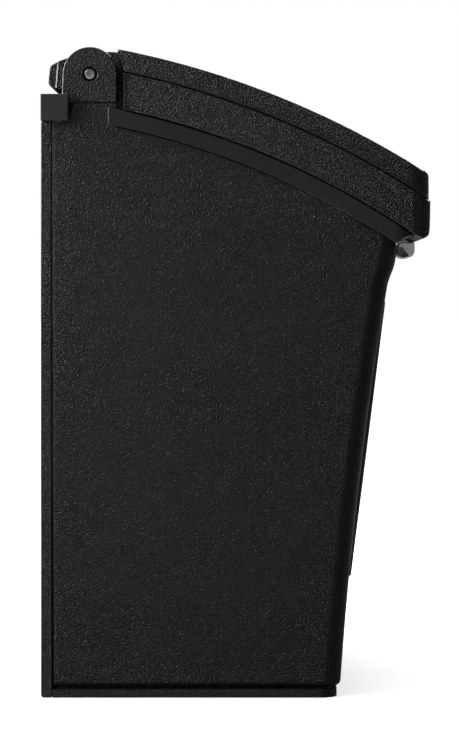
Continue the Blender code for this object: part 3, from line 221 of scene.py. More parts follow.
def arc_z(radius, d):
    """Height of the lid's arc of this radius at d."""
    return ARC_CENTRE_Z + math.sqrt(radius**2 - (d - ARC_CENTRE_D) ** 2)


FRONT_TOP_Z = arc_z(COLLAR_FOOT_RADIUS, FRONT_TOP_D)
LIP_FOOT_Z = arc_z(LID_FOOT_RADIUS, NOSE_D) - LIP_DROP
SKIRT_HALF = WIDTH / 2
CAP_HALF = SKIRT_HALF - LID_SEAM_STEP
COLLAR_HALF = SKIRT_HALF - SIDE_STEP
SHELL_TOP_HALF = COLLAR_HALF - SIDE_STEP
EAR_INNER = SHELL_TOP_HALF - EAR_THICKNESS
HOOD_HALF = EAR_INNER - HOOD_GAP


# ---------------------------------------------------------------- outlines


def forward(d):
    """World y of a point d forward of the rear face."""
    return DEPTH / 2 - d


def arc_line(radius, start_d, end_d):
    """Points along the lid's arc of this radius, from start_d to end_d."""
    ds = [start_d + (end_d - start_d) * i / ARC_STEPS for i in range(ARC_STEPS + 1)]
    return [(d, arc_z(radius, d)) for d in ds]


def circle_line(centre, radius, start, end, steps):
    """Points on a circle in (d, z), from the angle start to end in degrees, 0 pointing forward."""
    angles = [math.radians(start + (end - start) * i / steps) for i in range(steps + 1)]
    return [(centre[0] + radius * math.cos(a), centre[1] + radius * math.sin(a)) for a in angles]


def curved(points, steps=6):
    """A smooth line through the points, as a Catmull-Rom curve with its ends kept."""
    ends = [points[0]] + list(points) + [points[-1]]
    line = [points[0]]
    for a, b, c, d in zip(ends, ends[1:], ends[2:], ends[3:]):
        for i in range(1, steps + 1):
            t = i / steps
            line.append(tuple(catmull_rom(t, *axis) for axis in zip(a, b, c, d)))
    return line


def catmull_rom(t, a, b, c, d):
    """One coordinate of the curve between b and c, at t from 0 to 1."""
    return 0.5 * (2 * b + (c - a) * t + (2 * a - 5 * b + 4 * c - d) * t * t + (3 * b - a - 3 * c + d) * t**3)


def side_x(z):
    """Half width of the shell at height z."""
    return SHELL_TOP_HALF - SIDE_DRAFT * (1 - z / HEIGHT)


def front_d(z):
    """Where the shell's concave front wall is at height z."""
    t = z / FRONT_TOP_Z
    rise = FRONT_STRAIGHT * t + (1 - FRONT_STRAIGHT) * t * t
    flare = min(1.0, max(0.0, (z - FRONT_TOP_Z + FRONT_FLARE_DROP) / FRONT_FLARE_RISE))
    flare = flare * flare * (3 - 2 * flare)
    return FRONT_FOOT_D + (FRONT_TOP_D - FRONT_FOOT_D) * rise + FRONT_FLARE * flare


def rounded_ring(half_width, rear, front, rear_radius, front_radius, steps):
    """Corner points (x, y) of a rectangle from rear to front (both d), anticlockwise from above."""
    rear_y = forward(rear)
    front_y = forward(front)
    corners = (
        (half_width - rear_radius, rear_y - rear_radius, rear_radius, 0),
        (rear_radius - half_width, rear_y - rear_radius, rear_radius, 90),
        (front_radius - half_width, front_y + front_radius, front_radius, 180),
        (half_width - front_radius, front_y + front_radius, front_radius, 270),
    )
    ring = []
    for x, y, radius, start in corners:
        for i in range(steps + 1):
            angle = math.radians(start + 90 * i / steps)
            ring.append((x + radius * math.cos(angle), y + radius * math.sin(angle)))
    return ring


# ---------------------------------------------------------------- making meshes


def add_object(name, data):
    """A new object in the scene, from a mesh, a lamp or a camera."""
    obj = bpy.data.objects.new(name, data)
    bpy.context.scene.collection.objects.link(obj)
    return obj


def from_bmesh(name, bm):
    """An object from the mesh being built, its normals outward."""
    bmesh.ops.recalc_face_normals(bm, faces=bm.faces)
    mesh = bpy.data.meshes.new(name)
    bm.to_mesh(mesh)
    bm.free()
    return add_object(name, mesh)


def prism(name, points, shift):
    """A closed solid: the ring of 3-D points drawn along the vector shift."""
    bm = bmesh.new()
    near = [bm.verts.new(p) for p in points]
    far = [bm.verts.new(Vector(p) + Vector(shift)) for p in points]
    bm.faces.new(near)
    bm.faces.new(far[::-1])
    for i in range(len(points)):
        j = (i + 1) % len(points)
        bm.faces.new((near[i], far[i], far[j], near[j]))
    return from_bmesh(name, bm)


def side_solid(name, outline, x_low, x_high):
    """A side outline of (d, z) points drawn out from x_low to x_high."""
    return prism(name, [(x_low, forward(d), z) for d, z in outline], (x_high - x_low, 0, 0))


def plan_solid(name, ring, z_low, z_high):
    """A plan outline of (x, y) points drawn up from z_low to z_high."""
    return prism(name, [(x, y, z_low) for x, y in ring], (0, 0, z_high - z_low))


def block(name, x_range, d_range, z_range):
    """A box between the given limits, as a cutter or a blank."""
    d_low, d_high = d_range
    z_low, z_high = z_range
    outline = [(d_low, z_low), (d_high, z_low), (d_high, z_high), (d_low, z_high)]
    return side_solid(name, outline, *x_range)


def loft(name, rings):
    """A closed solid through rings of equal point counts, each a list of (x, y, z)."""
    bm = bmesh.new()
    rows = [[bm.verts.new(point) for point in ring] for ring in rings]
    count = len(rows[0])
    for low, high in zip(rows, rows[1:]):
        for i in range(count):
            j = (i + 1) % count
            bm.faces.new((low[i], low[j], high[j], high[i]))
    bm.faces.new(rows[0][::-1])
    bm.faces.new(rows[-1])
    return from_bmesh(name, bm)


# Turns that lay an upright solid along each axis
AXES = {
    "X": Matrix.Rotation(math.pi / 2, 4, "Y"),
    "Y": Matrix.Rotation(-math.pi / 2, 4, "X"),
    "Z": Matrix.Identity(4),
}


def turned(name, axis, middle, profile, sides=ROUND):
    """A solid of revolution from (radius, along) points, first and last on the axis."""
    bm = bmesh.new()
    place = Matrix.Translation(middle) @ AXES[axis]
    rows = []
    for radius, along in profile[1:-1]:
        row = []
        for i in range(sides):
            angle = 2 * math.pi * i / sides
            point = Vector((radius * math.cos(angle), radius * math.sin(angle), along))
            row.append(bm.verts.new(place @ point))
        rows.append(row)
    start = bm.verts.new(place @ Vector((0, 0, profile[0][1])))
    end = bm.verts.new(place @ Vector((0, 0, profile[-1][1])))
    for i in range(sides):
        j = (i + 1) % sides
        bm.faces.new((start, rows[0][j], rows[0][i]))
        bm.faces.new((end, rows[-1][i], rows[-1][j]))
        for low, high in zip(rows, rows[1:]):
            bm.faces.new((low[i], low[j], high[j], high[i]))
    return from_bmesh(name, bm)


def rod(name, axis, middle, radius, length, sides=ROUND):
    """A plain round cutter or blank along an axis."""
    half = length / 2
    return turned(name, axis, middle, [(0, -half), (radius, -half), (radius, half), (0, half)], sides)


def apply_modifiers(obj):
    """Bakes the modifiers into the mesh."""
    evaluated = obj.evaluated_get(bpy.context.evaluated_depsgraph_get())
    mesh = bpy.data.meshes.new_from_object(evaluated)
    obj.modifiers.clear()
    obj.data = mesh


def combine(target, tools, operation):
    """Boolean with each tool in turn; the tools are used up."""
    for tool in tools:
        modifier = target.modifiers.new(operation.lower(), "BOOLEAN")
        modifier.operation = operation
        modifier.object = tool
        modifier.solver = "EXACT"
    apply_modifiers(target)
    for tool in tools:
        bpy.data.objects.remove(tool, do_unlink=True)
    return target


def cut(target, *tools):
    return combine(target, tools, "DIFFERENCE")


def join(target, *tools):
    return combine(target, tools, "UNION")


def keep(target, *tools):
    return combine(target, tools, "INTERSECT")


def drill(target, axis, middle, radius, length, sides=ROUND):
    """A round hole through the target."""
    return cut(target, rod("hole", axis, middle, radius, length, sides))


def soften(obj, radius, radius_at=None, segments=3, highlight_slope=0.35):
    """Rounds every sharp edge; radius_at(point) may give some of them a smaller radius.

    Rounded faces whose normals rise or fall by less than the given slope take the second look, a lighter and
    glossier copy of the material: a painted edge highlight, kept off the edges that face up or down.
    """
    bm = bmesh.new()
    bm.from_mesh(obj.data)
    bmesh.ops.remove_doubles(bm, verts=bm.verts, dist=MERGE)
    bmesh.ops.dissolve_limit(bm, angle_limit=FLAT, verts=bm.verts, edges=bm.edges)
    weight = bm.edges.layers.float.new("bevel_weight_edge")
    for edge in bm.edges:
        if len(edge.link_faces) == 2 and edge.calc_face_angle(0) > SHARP:
            middle = (edge.verts[0].co + edge.verts[1].co) / 2
            edge[weight] = radius_at(middle) / radius if radius_at else 1.0
    bm.to_mesh(obj.data)
    bm.free()
    bevel = obj.modifiers.new("rounded_edges", "BEVEL")
    bevel.limit_method = "WEIGHT"
    bevel.width = radius
    bevel.segments = segments
    bevel.use_clamp_overlap = False
    obj.data.materials.clear()
    obj.data.materials.append(None)
    obj.data.materials.append(None)
    bevel.material = 1
    apply_modifiers(obj)
    # rounded faces that face up or down go back to the first look, so the painted edge highlight shows only
    # where edges face sideways
    for face in obj.data.polygons:
        if abs(face.normal.z) > highlight_slope:
            face.material_index = 0
    obj.data.shade_smooth()
    normals = obj.modifiers.new("flat_faces_stay_flat", "WEIGHTED_NORMAL")
    normals.mode = "FACE_AREA"
    normals.weight = 80
    apply_modifiers(obj)
    return obj


def place(obj, material, body, nodes, slot):
    """Gives a piece its material, its body and the CAD nodes it stands for; the slot in the record is not
    used.
    """
    if len(obj.data.materials) > 1:
        obj.data.materials[0] = MATERIALS[material]
        # the rounded edges take the lighter, glossier _edge look: a painted edge highlight
        obj.data.materials[1] = MATERIALS[material + "_edge"]
    else:
        obj.data.materials.append(MATERIALS[material])
    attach(obj, body)
    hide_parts(*nodes)
    return obj


# ---------------------------------------------------------------- materials


class Nodes:
    """A material's node tree, with short calls for the nodes used here."""

    def __init__(self, name):
        """An empty material; place is where a point is on its object."""
        self.material = bpy.data.materials.new(name)
        self.material.use_nodes = True
        self.tree = self.material.node_tree
        self.shader = self.tree.nodes["Principled BSDF"]
        self.place = self.tree.nodes.new("ShaderNodeTexCoord").outputs["Object"]

    def add(self, kind, inputs=None, **settings):
        """A new node with these settings, its inputs linked or set."""
        node = self.tree.nodes.new(kind)
        for name, value in settings.items():
            setattr(node, name, value)
        for socket, value in (inputs or {}).items():
            if isinstance(value, bpy.types.NodeSocket):
                self.tree.links.new(value, node.inputs[socket])
            else:
                node.inputs[socket].default_value = value
        return node

    def noise(self, size, detail=2.0, roughness=0.5):
        """Noise whose features are about size metres across."""
        inputs = {"Vector": self.place, "Scale": 1 / size, "Detail": detail, "Roughness": roughness}
        return self.add("ShaderNodeTexNoise", inputs).outputs["Fac"]

    def cells(self, size):
        """Soft pebbles about size metres across, 0 in their middles."""
        inputs = {"Vector": self.place, "Scale": 1 / size, "Smoothness": 0.35, "Randomness": 1.0}
        return self.add("ShaderNodeTexVoronoi", inputs, feature="SMOOTH_F1").outputs["Distance"]

    def math(self, operation, a, b=0.0, c=0.0, clamp=False):
        inputs = {0: a, 1: b, 2: c}
        return self.add("ShaderNodeMath", inputs, operation=operation, use_clamp=clamp).outputs["Value"]

    def span(self, value, low, high, to_low, to_high):
        """Maps low..high onto to_low..to_high, held at the ends."""
        inputs = {"Value": value, "From Min": low, "From Max": high, "To Min": to_low, "To Max": to_high}
        return self.add("ShaderNodeMapRange", inputs).outputs["Result"]

    def mix(self, factor, a, b):
        inputs = {0: factor, 6: (*a, 1.0), 7: (*b, 1.0)}
        return self.add("ShaderNodeMix", inputs, data_type="RGBA").outputs[2]

    def edges(self):
        """1 on convex edges, 0 on flats."""
        pointiness = self.add("ShaderNodeNewGeometry").outputs["Pointiness"]
        return self.span(pointiness, 0.505, 0.56, 0.0, 1.0)

    def middling(self, value, to_low, to_high):
        """Maps the middle of a noise's range onto to_low..to_high."""
        return self.span(value, 0.3, 0.7, to_low, to_high)

    def shade(self, noise, low, high, convex_edges, edge_lift):
        """How light the colour is: by a noise, from low to high, and lighter by the given amount on convex
        edges.
        """
        lift = self.math("MULTIPLY", convex_edges, edge_lift)
        return self.math("ADD", self.middling(noise, low, high), lift, clamp=True)

    def bump(self, height, distance):
        inputs = {"Height": height, "Distance": distance, "Strength": 1.0}
        return self.add("ShaderNodeBump", inputs).outputs["Normal"]

    def wire(self, **links):
        """Sets or links the shader's sockets; an underscore in a name stands for a space."""
        for name, value in links.items():
            socket = self.shader.inputs[name.replace("_", " ")]
            if isinstance(value, bpy.types.NodeSocket):
                self.tree.links.new(value, socket)
            else:
                socket.default_value = value
        return self.material


def grained_plastic(name, colour, grain, depth, roughness, gloss):
    """Black moulded plastic with a pebbled grain, polished on the tops of its pebbles."""
    nodes = Nodes(name)
    pebbles = nodes.cells(grain)
    fine = nodes.noise(grain * 0.6, 3.0)
    broad = nodes.noise(grain * 9, 2.0)
    height = nodes.math("MULTIPLY_ADD", pebbles, -1.0, nodes.math("MULTIPLY", fine, 0.55))
    convex_edges = nodes.edges()
    tops = nodes.span(height, -0.35, 0.1, 0.05, -0.07)
    rough = nodes.math("ADD", nodes.middling(broad, roughness - 0.03, roughness + 0.04), tops)
    rough = nodes.math("SUBTRACT", rough, nodes.math("MULTIPLY", convex_edges, 0.1))
    light = tuple(c * 1.9 + 0.002 for c in colour)
    return nodes.wire(
        Base_Color=nodes.mix(nodes.shade(broad, 0.0, 0.35, convex_edges, 0.55), colour, light),
        Roughness=rough,
        Normal=nodes.bump(height, depth),
        Specular_IOR_Level=gloss,
    )


def smooth_plastic(name, colour, roughness, gloss=0.5):
    """Moulded plastic with a satin face, faint ripples and lighter convex edges."""
    nodes = Nodes(name)
    ripple = nodes.noise(0.004, 3.0)
    satin = nodes.noise(0.0006, 2.0)
    convex_edges = nodes.edges()
    height = nodes.math("MULTIPLY_ADD", satin, 0.25, ripple)
    light = tuple(c * 1.6 + 0.002 for c in colour)
    return nodes.wire(
        Base_Color=nodes.mix(nodes.shade(ripple, 0.0, 0.3, convex_edges, 0.5), colour, light),
        Roughness=nodes.middling(nodes.noise(0.012, 3.0), roughness - 0.04, roughness + 0.05),
        Normal=nodes.bump(height, 0.00006),
        Specular_IOR_Level=gloss,
    )


def metal(name, colour, roughness, line_axis):
    """Metal with fine drawn lines along one axis (0 to 2 for x to z) and a mottled finish."""
    nodes = Nodes(name)
    stretch = [2500.0, 2500.0, 2500.0]
    stretch[line_axis] = 120.0
    scaled = nodes.add("ShaderNodeVectorMath", {0: nodes.place, 1: stretch}, operation="MULTIPLY")
    inputs = {"Vector": scaled.outputs[0], "Scale": 1.0, "Detail": 2.0}
    lines = nodes.add("ShaderNodeTexNoise", inputs).outputs["Fac"]
    mottle = nodes.noise(0.003, 3.0)
    convex_edges = nodes.edges()
    uneven = nodes.middling(mottle, roughness - 0.05, roughness + 0.07)
    dull = tuple(c * 0.72 for c in colour)
    return nodes.wire(
        Base_Color=nodes.mix(nodes.shade(mottle, 0.25, 0.85, convex_edges, 0.3), dull, colour),
        Metallic=1.0,
        Roughness=nodes.math("ADD", uneven, nodes.middling(lines, -0.03, 0.05)),
        Normal=nodes.bump(lines, 0.00002),
    )


def rubber(name):
    """Dull black rubber, gritty, with a little dust."""
    nodes = Nodes(name)
    grit = nodes.noise(0.0007, 4.0, 0.7)
    dust = nodes.span(nodes.noise(0.006, 3.0), 0.4, 0.75, 0.0, 1.0)
    return nodes.wire(
        Base_Color=nodes.mix(dust, (0.012, 0.012, 0.012), (0.03, 0.029, 0.028)),
        Roughness=nodes.middling(grit, 0.78, 0.95),
        Normal=nodes.bump(grit, 0.00012),
        Specular_IOR_Level=0.25,
    )


# Colour, size and depth of the grain, roughness and gloss
GRAINED_LOOKS = {
    "body_plastic": ((0.0034, 0.0032, 0.0031), 0.00080, 0.00072, 0.35, 0.155),
    "lid_plastic": ((0.0022, 0.0026, 0.0037), 0.00090, 0.00108, 0.33, 0.14),
}

# Colour, roughness and, where it isn't the usual one, gloss
SMOOTH_LOOKS = {
    "satin_black": ((0.0125, 0.0125, 0.0130), 0.42, 0.36),
    # looks ending in _edge are lighter, glossier copies for rounded edges: a painted edge highlight
    "body_plastic_edge": ((0.0070, 0.0068, 0.0066), 0.22, 0.80),
    "lid_plastic_edge": ((0.0062, 0.0068, 0.0080), 0.22, 0.80),
    "satin_black_edge": ((0.0075, 0.0075, 0.0078), 0.30, 0.45),
    "rim_black": ((0.0165, 0.0160, 0.0158), 0.46, 0.40),
    "rim_black_edge": ((0.0200, 0.0195, 0.0190), 0.30, 0.55),
    "pull_metal": ((0.88, 0.87, 0.85), 0.30, 0.8),
    # a darker grey for the floors of the pull's cut-in ends: painted shade in the recess
    "pull_painted_shade": ((0.22, 0.21, 0.20), 0.40),
    "bucket_plastic": ((0.055, 0.057, 0.060), 0.46),
    "nylon": ((0.52, 0.51, 0.47), 0.42),
}

# Colour, roughness and the axis of the drawn lines
METAL_LOOKS = {
    # a brighter, smoother copy for the pull's rounded edges: a painted edge highlight
    "pull_metal_edge": ((0.97, 0.96, 0.94), 0.22, 0),
    "steel": ((0.66, 0.65, 0.63), 0.24, 0),
    "zinc": ((0.55, 0.55, 0.54), 0.36, 1),
}


def make_materials():
    """Every look by name; a piece's rounded edges take the look whose name ends in _edge, a lighter and
    glossier copy that paints a highlight along them.
    """
    materials = {name: grained_plastic(name, *look) for name, look in GRAINED_LOOKS.items()}
    materials.update({name: smooth_plastic(name, *look) for name, look in SMOOTH_LOOKS.items()})
    materials.update({name: metal(name, *look) for name, look in METAL_LOOKS.items()})
    materials["rubber"] = rubber("rubber")
    return materials


# ---------------------------------------------------------------- shell pieces


def shell_ring(z, inset):
    """A level ring of the shell's outer surface, moved inward by inset."""
    ring = rounded_ring(
        side_x(z) - inset,
        BACK_THICKNESS + GAP + inset,
        front_d(z) - inset,
        max(SHELL_EDGE - inset, 0.0008),
        max(FRONT_CORNER - inset, 0.0008),
        SHELL_CORNER_STEPS,
    )
    return [(x, y, z) for x, y in ring]


def shell_heights():
    """Heights of the loft's rings: even steps up to the flare, closer ones through it."""
    flare_z = FRONT_TOP_Z - FRONT_FLARE_DROP
    low = SHELL_FOOT_Z + SHELL_EDGE
    even = [low + (flare_z - low) * i / LOFT_STEPS for i in range(1, LOFT_STEPS + 1)]
    flare = [flare_z + FRONT_FLARE_RISE * i / FLARE_STEPS for i in range(1, FLARE_STEPS + 1)]
    return even + flare + [FRONT_TOP_Z + 0.004, HEIGHT + CUT]


def ear_outline(root_z):
    """Side outline of a hinge ear, standing on root_z."""
    rear = (PIN_D - EAR_RADIUS - EAR_ROOT_LEAN, root_z)
    front = (PIN_D + EAR_RADIUS, root_z)
    return [rear] + circle_line((PIN_D, PIN_Z), EAR_RADIUS, 180, 0, ROUND) + [front]


def trim_outline():
    """Everything above the shell's top edge, which leaves the ears standing."""
    ear = ear_outline(REAR_RIM_FOOT_Z - GAP)[:-1]
    ear.append((PIN_D + EAR_RADIUS, arc_z(COLLAR_FOOT_RADIUS - GAP, PIN_D + EAR_RADIUS)))
    arc = arc_line(COLLAR_FOOT_RADIUS - GAP, PIN_D + EAR_RADIUS, DEPTH + CUT)[1:]
    top = HEIGHT + 2 * CUT
    return [(-CUT, top), (-CUT, REAR_RIM_FOOT_Z - GAP)] + ear + arc + [(DEPTH + CUT, top)]


def corner_posts():
    """Places (x, d) of the four screw posts inside the shell's foot."""
    x = side_x(0) - POST_INSET
    rear = BACK_THICKNESS + GAP + POST_INSET
    front = front_d(SHELL_FOOT_Z) - POST_INSET - WALL
    return [(side * x, d) for side in (-1, 1) for d in (rear, front)]


def back_screw_places():
    """Places (x, z) of the screws through the back panel."""
    x = side_x(0) - BACK_SCREW_INSET
    return [(side * x, z) for side in (-1, 1) for z in (BACK_SCREW_LOW_Z, BACK_SCREW_TOP_Z)]


def toe_opening():
    """A block whose upper corners are rounded in front view."""
    points = [(-TOE_HALF_WIDTH, -CUT), (TOE_HALF_WIDTH, -CUT)]
    for centre_x, start in ((TOE_HALF_WIDTH - TOE_CORNER, 0), (TOE_CORNER - TOE_HALF_WIDTH, 90)):
        centre = (centre_x, TOE_TOP_Z - TOE_CORNER)
        points += circle_line(centre, TOE_CORNER, start, start + 90, SMALL_ARC_STEPS)
    ring = [(x, forward(TOE_REAR_D), z) for x, z in points]
    return prism("toe_opening", ring, (0, -DEPTH, 0))


def side_recesses():
    """Cutters for a pocket beside the rear rim and a shallow step under each ear."""
    cutters = []
    for side in (-1, 1):
        x_range = sorted((side * (SHELL_TOP_HALF - POCKET_DEPTH), side * WIDTH))
        cutters.append(side_solid("pocket", POCKET, *x_range))
        x = side * side_x(EAR_STEP_Z)
        step = [
            (x + side * CUT, EAR_STEP_Z + EAR_STEP_HEIGHT),
            (x - side * EAR_STEP_DEPTH, EAR_STEP_Z + EAR_STEP_HEIGHT * 0.8),
            (x + side * CUT * 0.02, EAR_STEP_Z),
            (x + side * CUT, EAR_STEP_Z),
        ]
        start_d = POCKET[1][0]
        reach = PIN_D + EAR_RADIUS + GAP - start_d
        cutters.append(prism("step", [(px, forward(start_d), z) for px, z in step], (0, -reach, 0)))
    return cutters


def make_outer_shell():
    """The moulded body: hollow, open at the top, with two hinge ears, four posts and the toe recess."""
    rings = []
    steps = 6
    for i in range(steps):
        a = math.radians(90 * i / steps)
        z = SHELL_FOOT_Z + SHELL_EDGE * (1 - math.cos(a))
        rings.append(shell_ring(z, SHELL_EDGE * (1 - math.sin(a))))
    rings.append(shell_ring(SHELL_FOOT_Z + SHELL_EDGE, 0))
    rings += [shell_ring(z, 0) for z in shell_heights()]
    shell = loft("outer_shell_fine", rings)
    inner = [shell_ring(-CUT, WALL)] + [shell_ring(z, WALL) for z in shell_heights()[:-1]]
    inner.append(shell_ring(HEIGHT + 2 * CUT, WALL))
    cut(shell, loft("cavity", inner))
    ears = []
    for side in (-1, 1):
        x_range = sorted((side * EAR_INNER, side * (side_x(PIN_Z) - WALL / 2)))
        ears.append(side_solid("ear", ear_outline(REAR_RIM_FOOT_Z - 0.016), *x_range))
    join(shell, *ears)
    posts = []
    for x, d in corner_posts():
        centre = (x, forward(d), SHELL_FOOT_Z + POST_HEIGHT / 2)
        posts.append(rod("post", "Z", centre, POST_RADIUS, POST_HEIGHT, POST_SIDES))
    join(shell, *posts)
    cut(shell, side_solid("trim", trim_outline(), -WIDTH, WIDTH))
    middle = (0, forward(PIN_D), PIN_Z)
    drill(shell, "X", middle, PIN_RADIUS + GAP, WIDTH + 2 * CUT)
    for side in (-1, 1):
        x = side * (SHELL_TOP_HALF - PIN_RECESS_DEPTH + CUT)
        drill(shell, "X", (x, *middle[1:]), PIN_RECESS_RADIUS, 2 * CUT)
    for x, z in back_screw_places():
        drill(shell, "Y", (x, forward(BACK_THICKNESS), z), SCREW_RADIUS + GAP, CUT, SCREW_SIDES)
    for x, d in corner_posts():
        drill(shell, "Z", (x, forward(d), SHELL_FOOT_Z), SCREW_RADIUS + GAP, POST_HEIGHT, SCREW_SIDES)
    cut(shell, toe_opening(), *side_recesses())

    def edge_radius(point):
        """Small or none inside the walls, small round the rod's end, none at the pocket and the step."""
        x, d, z = abs(point.x), DEPTH / 2 - point.y, point.z
        if x < side_x(z) - WALL / 2 and BACK_THICKNESS + WALL / 2 < d < front_d(z) - WALL / 2:
            return FINE_ROUND if z > REAR_RIM_FOOT_Z else 0.0
        if math.hypot(d - PIN_D, z - PIN_Z) < PIN_RECESS_RADIUS * 1.2:
            return FINE_ROUND
        margin = 0.001
        level = POCKET[3][1] - margin < z < EAR_STEP_Z + 2 * EAR_STEP_HEIGHT
        along = POCKET[0][0] - margin < d < PIN_D + EAR_RADIUS - margin
        return 0.0 if level and along else SHELL_ROUND

    # the shell's rounded edges take the painted edge highlight up to a steeper slope, so the ears' upper
    # edges catch it too
    soften(shell, SHELL_ROUND, edge_radius, highlight_slope=0.8)
    return place(shell, "body_plastic", "shell", ["outer_shell"], "body_grain")


def make_back_panel():
    """The plate over the shell's rear, up to the rear rim, with its screw holes."""
    top = REAR_RIM_FOOT_Z - GAP
    outline = circle_line((BACK_EDGE, BACK_EDGE), BACK_EDGE, 270, 180, SMALL_ARC_STEPS)
    outline += [(0, top), (BACK_THICKNESS, top), (BACK_THICKNESS, 0)]
    half = side_x(0)
    panel = side_solid("back_panel_fine", outline, -half, half)
    head = SCREW_HEAD_HEIGHT + GAP
    for x, z in back_screw_places():
        drill(panel, "Y", (x, forward(BACK_THICKNESS), z), SCREW_RADIUS + GAP, 2 * CUT, SCREW_SIDES)
        drill(panel, "Y", (x, forward(0), z), SCREW_HEAD_RADIUS + GAP, 2 * head, HEAD_SIDES)
    soften(panel, EDGE_ROUND)
    return place(panel, "body_plastic", "shell", ["back_panel"], "body_grain")


def foot_places():
    """Places (x, d) of the rubber feet let into the base plate."""
    x = side_x(0) - FOOT_INSET
    return [(side * x, d) for side in (-1, 1) for d in (FOOT_REAR_D, FRONT_FOOT_D - FOOT_INSET)]


def make_upstand():
    """The inner rim on the base plate, open at the toe recess and clear of the posts."""
    outer_inset = WALL + GAP
    plans = []
    for inset in (outer_inset, outer_inset + UPSTAND_WALL):
        rear = BACK_THICKNESS + inset + GAP
        front = FRONT_FOOT_D - BASE_FRONT_INSET - inset
        corner = FRONT_CORNER - inset
        plans.append(rounded_ring(side_x(0) - inset, rear, front, 0.001, corner, SHELL_CORNER_STEPS))
    outer, inner = plans
    rim = plan_solid("upstand", outer, BASE_THICKNESS - GAP, BASE_THICKNESS + UPSTAND_HEIGHT)
    cut(rim, plan_solid("inside", inner, -CUT, CUT + UPSTAND_HEIGHT))
    for x, d in corner_posts():
        drill(rim, "Z", (x, forward(d), SHELL_FOOT_Z - GAP + 2 * CUT), POST_ROOM_RADIUS, 4 * CUT)
    toe = (-TOE_HALF_WIDTH - GAP, TOE_HALF_WIDTH + GAP)
    return cut(rim, block("toe_room", toe, (TOE_REAR_D, DEPTH), (0, CUT + UPSTAND_HEIGHT)))


def make_base_plate():
    """The plate under the shell, with its inner rim, screw holes and places for the feet."""
    front = FRONT_FOOT_D - BASE_FRONT_INSET
    rear = BACK_THICKNESS + GAP
    ring = rounded_ring(side_x(0), rear, front, 0.0008, FRONT_CORNER, SHELL_CORNER_STEPS)
    plate = plan_solid("base_plate_fine", ring, 0, BASE_THICKNESS)
    for x, d in foot_places():
        drill(plate, "Z", (x, forward(d), 0), FOOT_RADIUS + GAP, 2 * (FOOT_SINK + GAP), HEAD_SIDES)
    head = SCREW_HEAD_HEIGHT + GAP
    for x, d in corner_posts():
        drill(plate, "Z", (x, forward(d), 0), SCREW_RADIUS + GAP, 2 * CUT, SCREW_SIDES)
        drill(plate, "Z", (x, forward(d), 0), SCREW_HEAD_RADIUS + GAP, 2 * head, HEAD_SIDES)
    join(plate, make_upstand())
    soften(plate, EDGE_ROUND)
    return place(plate, "body_plastic", "shell", ["base_plate"], "body_grain")


def make_front_panel():
    """A flat panel proud of the concave front wall, thinning to its two ends."""
    foot = PANEL_FOOT_Z
    top = FRONT_TOP_Z - PANEL_DROP
    heights = [foot + (top - foot) * i / LOFT_STEPS for i in range(LOFT_STEPS + 1)]
    inner = [(front_d(z) + GAP, z) for z in heights]
    outer = [
        (front_d(foot) + PANEL_PROUD_LOW, foot + PANEL_FOOT_CHAMFER),
        (front_d(top) + PANEL_PROUD_HIGH, top - PANEL_TOP_CHAMFER),
    ]
    panel = side_solid("front_panel_fine", inner + outer[::-1], -PANEL_HALF_WIDTH, PANEL_HALF_WIDTH)
    soften(panel, PANEL_ROUND)
    return place(panel, "satin_black", "shell", ["front_panel"], "smooth_black")


def make_rim_collar():
    """The smooth band round the shell's top, under the lid, from ear to ear round the front."""
    top_radius = LID_FOOT_RADIUS - RUN
    foot = arc_line(COLLAR_FOOT_RADIUS - GAP * 0.8, COLLAR_REAR_D, FRONT_TOP_D)
    nose = [(NOSE_D - 0.0039, FRONT_TOP_Z + 0.0031), (NOSE_D, arc_z(top_radius, NOSE_D) - 0.0008)]
    outline = foot + nose + arc_line(top_radius, NOSE_D - 0.0006, COLLAR_REAR_D)
    collar = side_solid("rim_collar_fine", outline, -WIDTH, WIDTH)
    rear = COLLAR_REAR_D - CUT
    ring = rounded_ring(COLLAR_HALF, rear, NOSE_D + GAP, 0.001, FRONT_CORNER, LID_CORNER_STEPS)
    keep(collar, plan_solid("plan", ring, 0, HEIGHT))
    half = SHELL_TOP_HALF - COLLAR_WALL
    front = FRONT_TOP_D - COLLAR_WALL
    inner = rounded_ring(half, 0, front, 0.001, FRONT_CORNER - COLLAR_WALL, LID_CORNER_STEPS)
    beside_ear = (rear, PIN_D + EAR_RADIUS + GAP)
    clear = SHELL_TOP_HALF + GAP
    mouth = plan_solid("mouth", inner, -CUT, HEIGHT + CUT)
    cut(collar, mouth, block("ear_room", (-clear, clear), beside_ear, (0, HEIGHT)))
    soften(collar, EDGE_ROUND)
    return place(collar, "satin_black", "shell", ["rim_collar"], "smooth_black")


def make_rear_rim():
    """A bar along the rear edge with a short return outside each side wall."""
    z_range = (REAR_RIM_FOOT_Z, REAR_RIM_FOOT_Z + REAR_RIM_HEIGHT)
    rim = block("rear_rim_fine", (-COLLAR_HALF, COLLAR_HALF), (0, REAR_RIM_REACH), z_range)
    clear = SHELL_TOP_HALF + GAP
    cut(rim, block("room", (-clear, clear), (REAR_RIM_BAR, 2 * REAR_RIM_REACH), (0, HEIGHT)))
    soften(rim, EDGE_ROUND)
    return place(rim, "rim_black", "shell", ["rear_rim"], "smooth_black")


def make_hinge_rod():
    """A bright rod with a chamfer and a dimple in each end."""
    half = side_x(PIN_Z) - ROD_END_INSET
    chamfer = 0.0006
    dimple = [(0.0, 0.0013), (0.0004, 0.0011), (0.0009, 0.0004), (0.0013, 0.0)]
    end = [(r, -half + depth) for r, depth in dimple]
    end += [(PIN_RADIUS - chamfer, -half), (PIN_RADIUS - chamfer * 0.3, -half + chamfer * 0.3)]
    end += [(PIN_RADIUS, -half + chamfer)]
    profile = end + [(r, -z) for r, z in reversed(end)]
    obj = turned("hinge_rod_fine", "X", (0, forward(PIN_D), PIN_Z), profile)
    obj.data.shade_smooth()
    obj.data.set_sharp_from_angle(angle=math.radians(40))
    return place(obj, "steel", "shell", ["hinge_rod"], "steel")


# ---------------------------------------------------------------- lid pieces


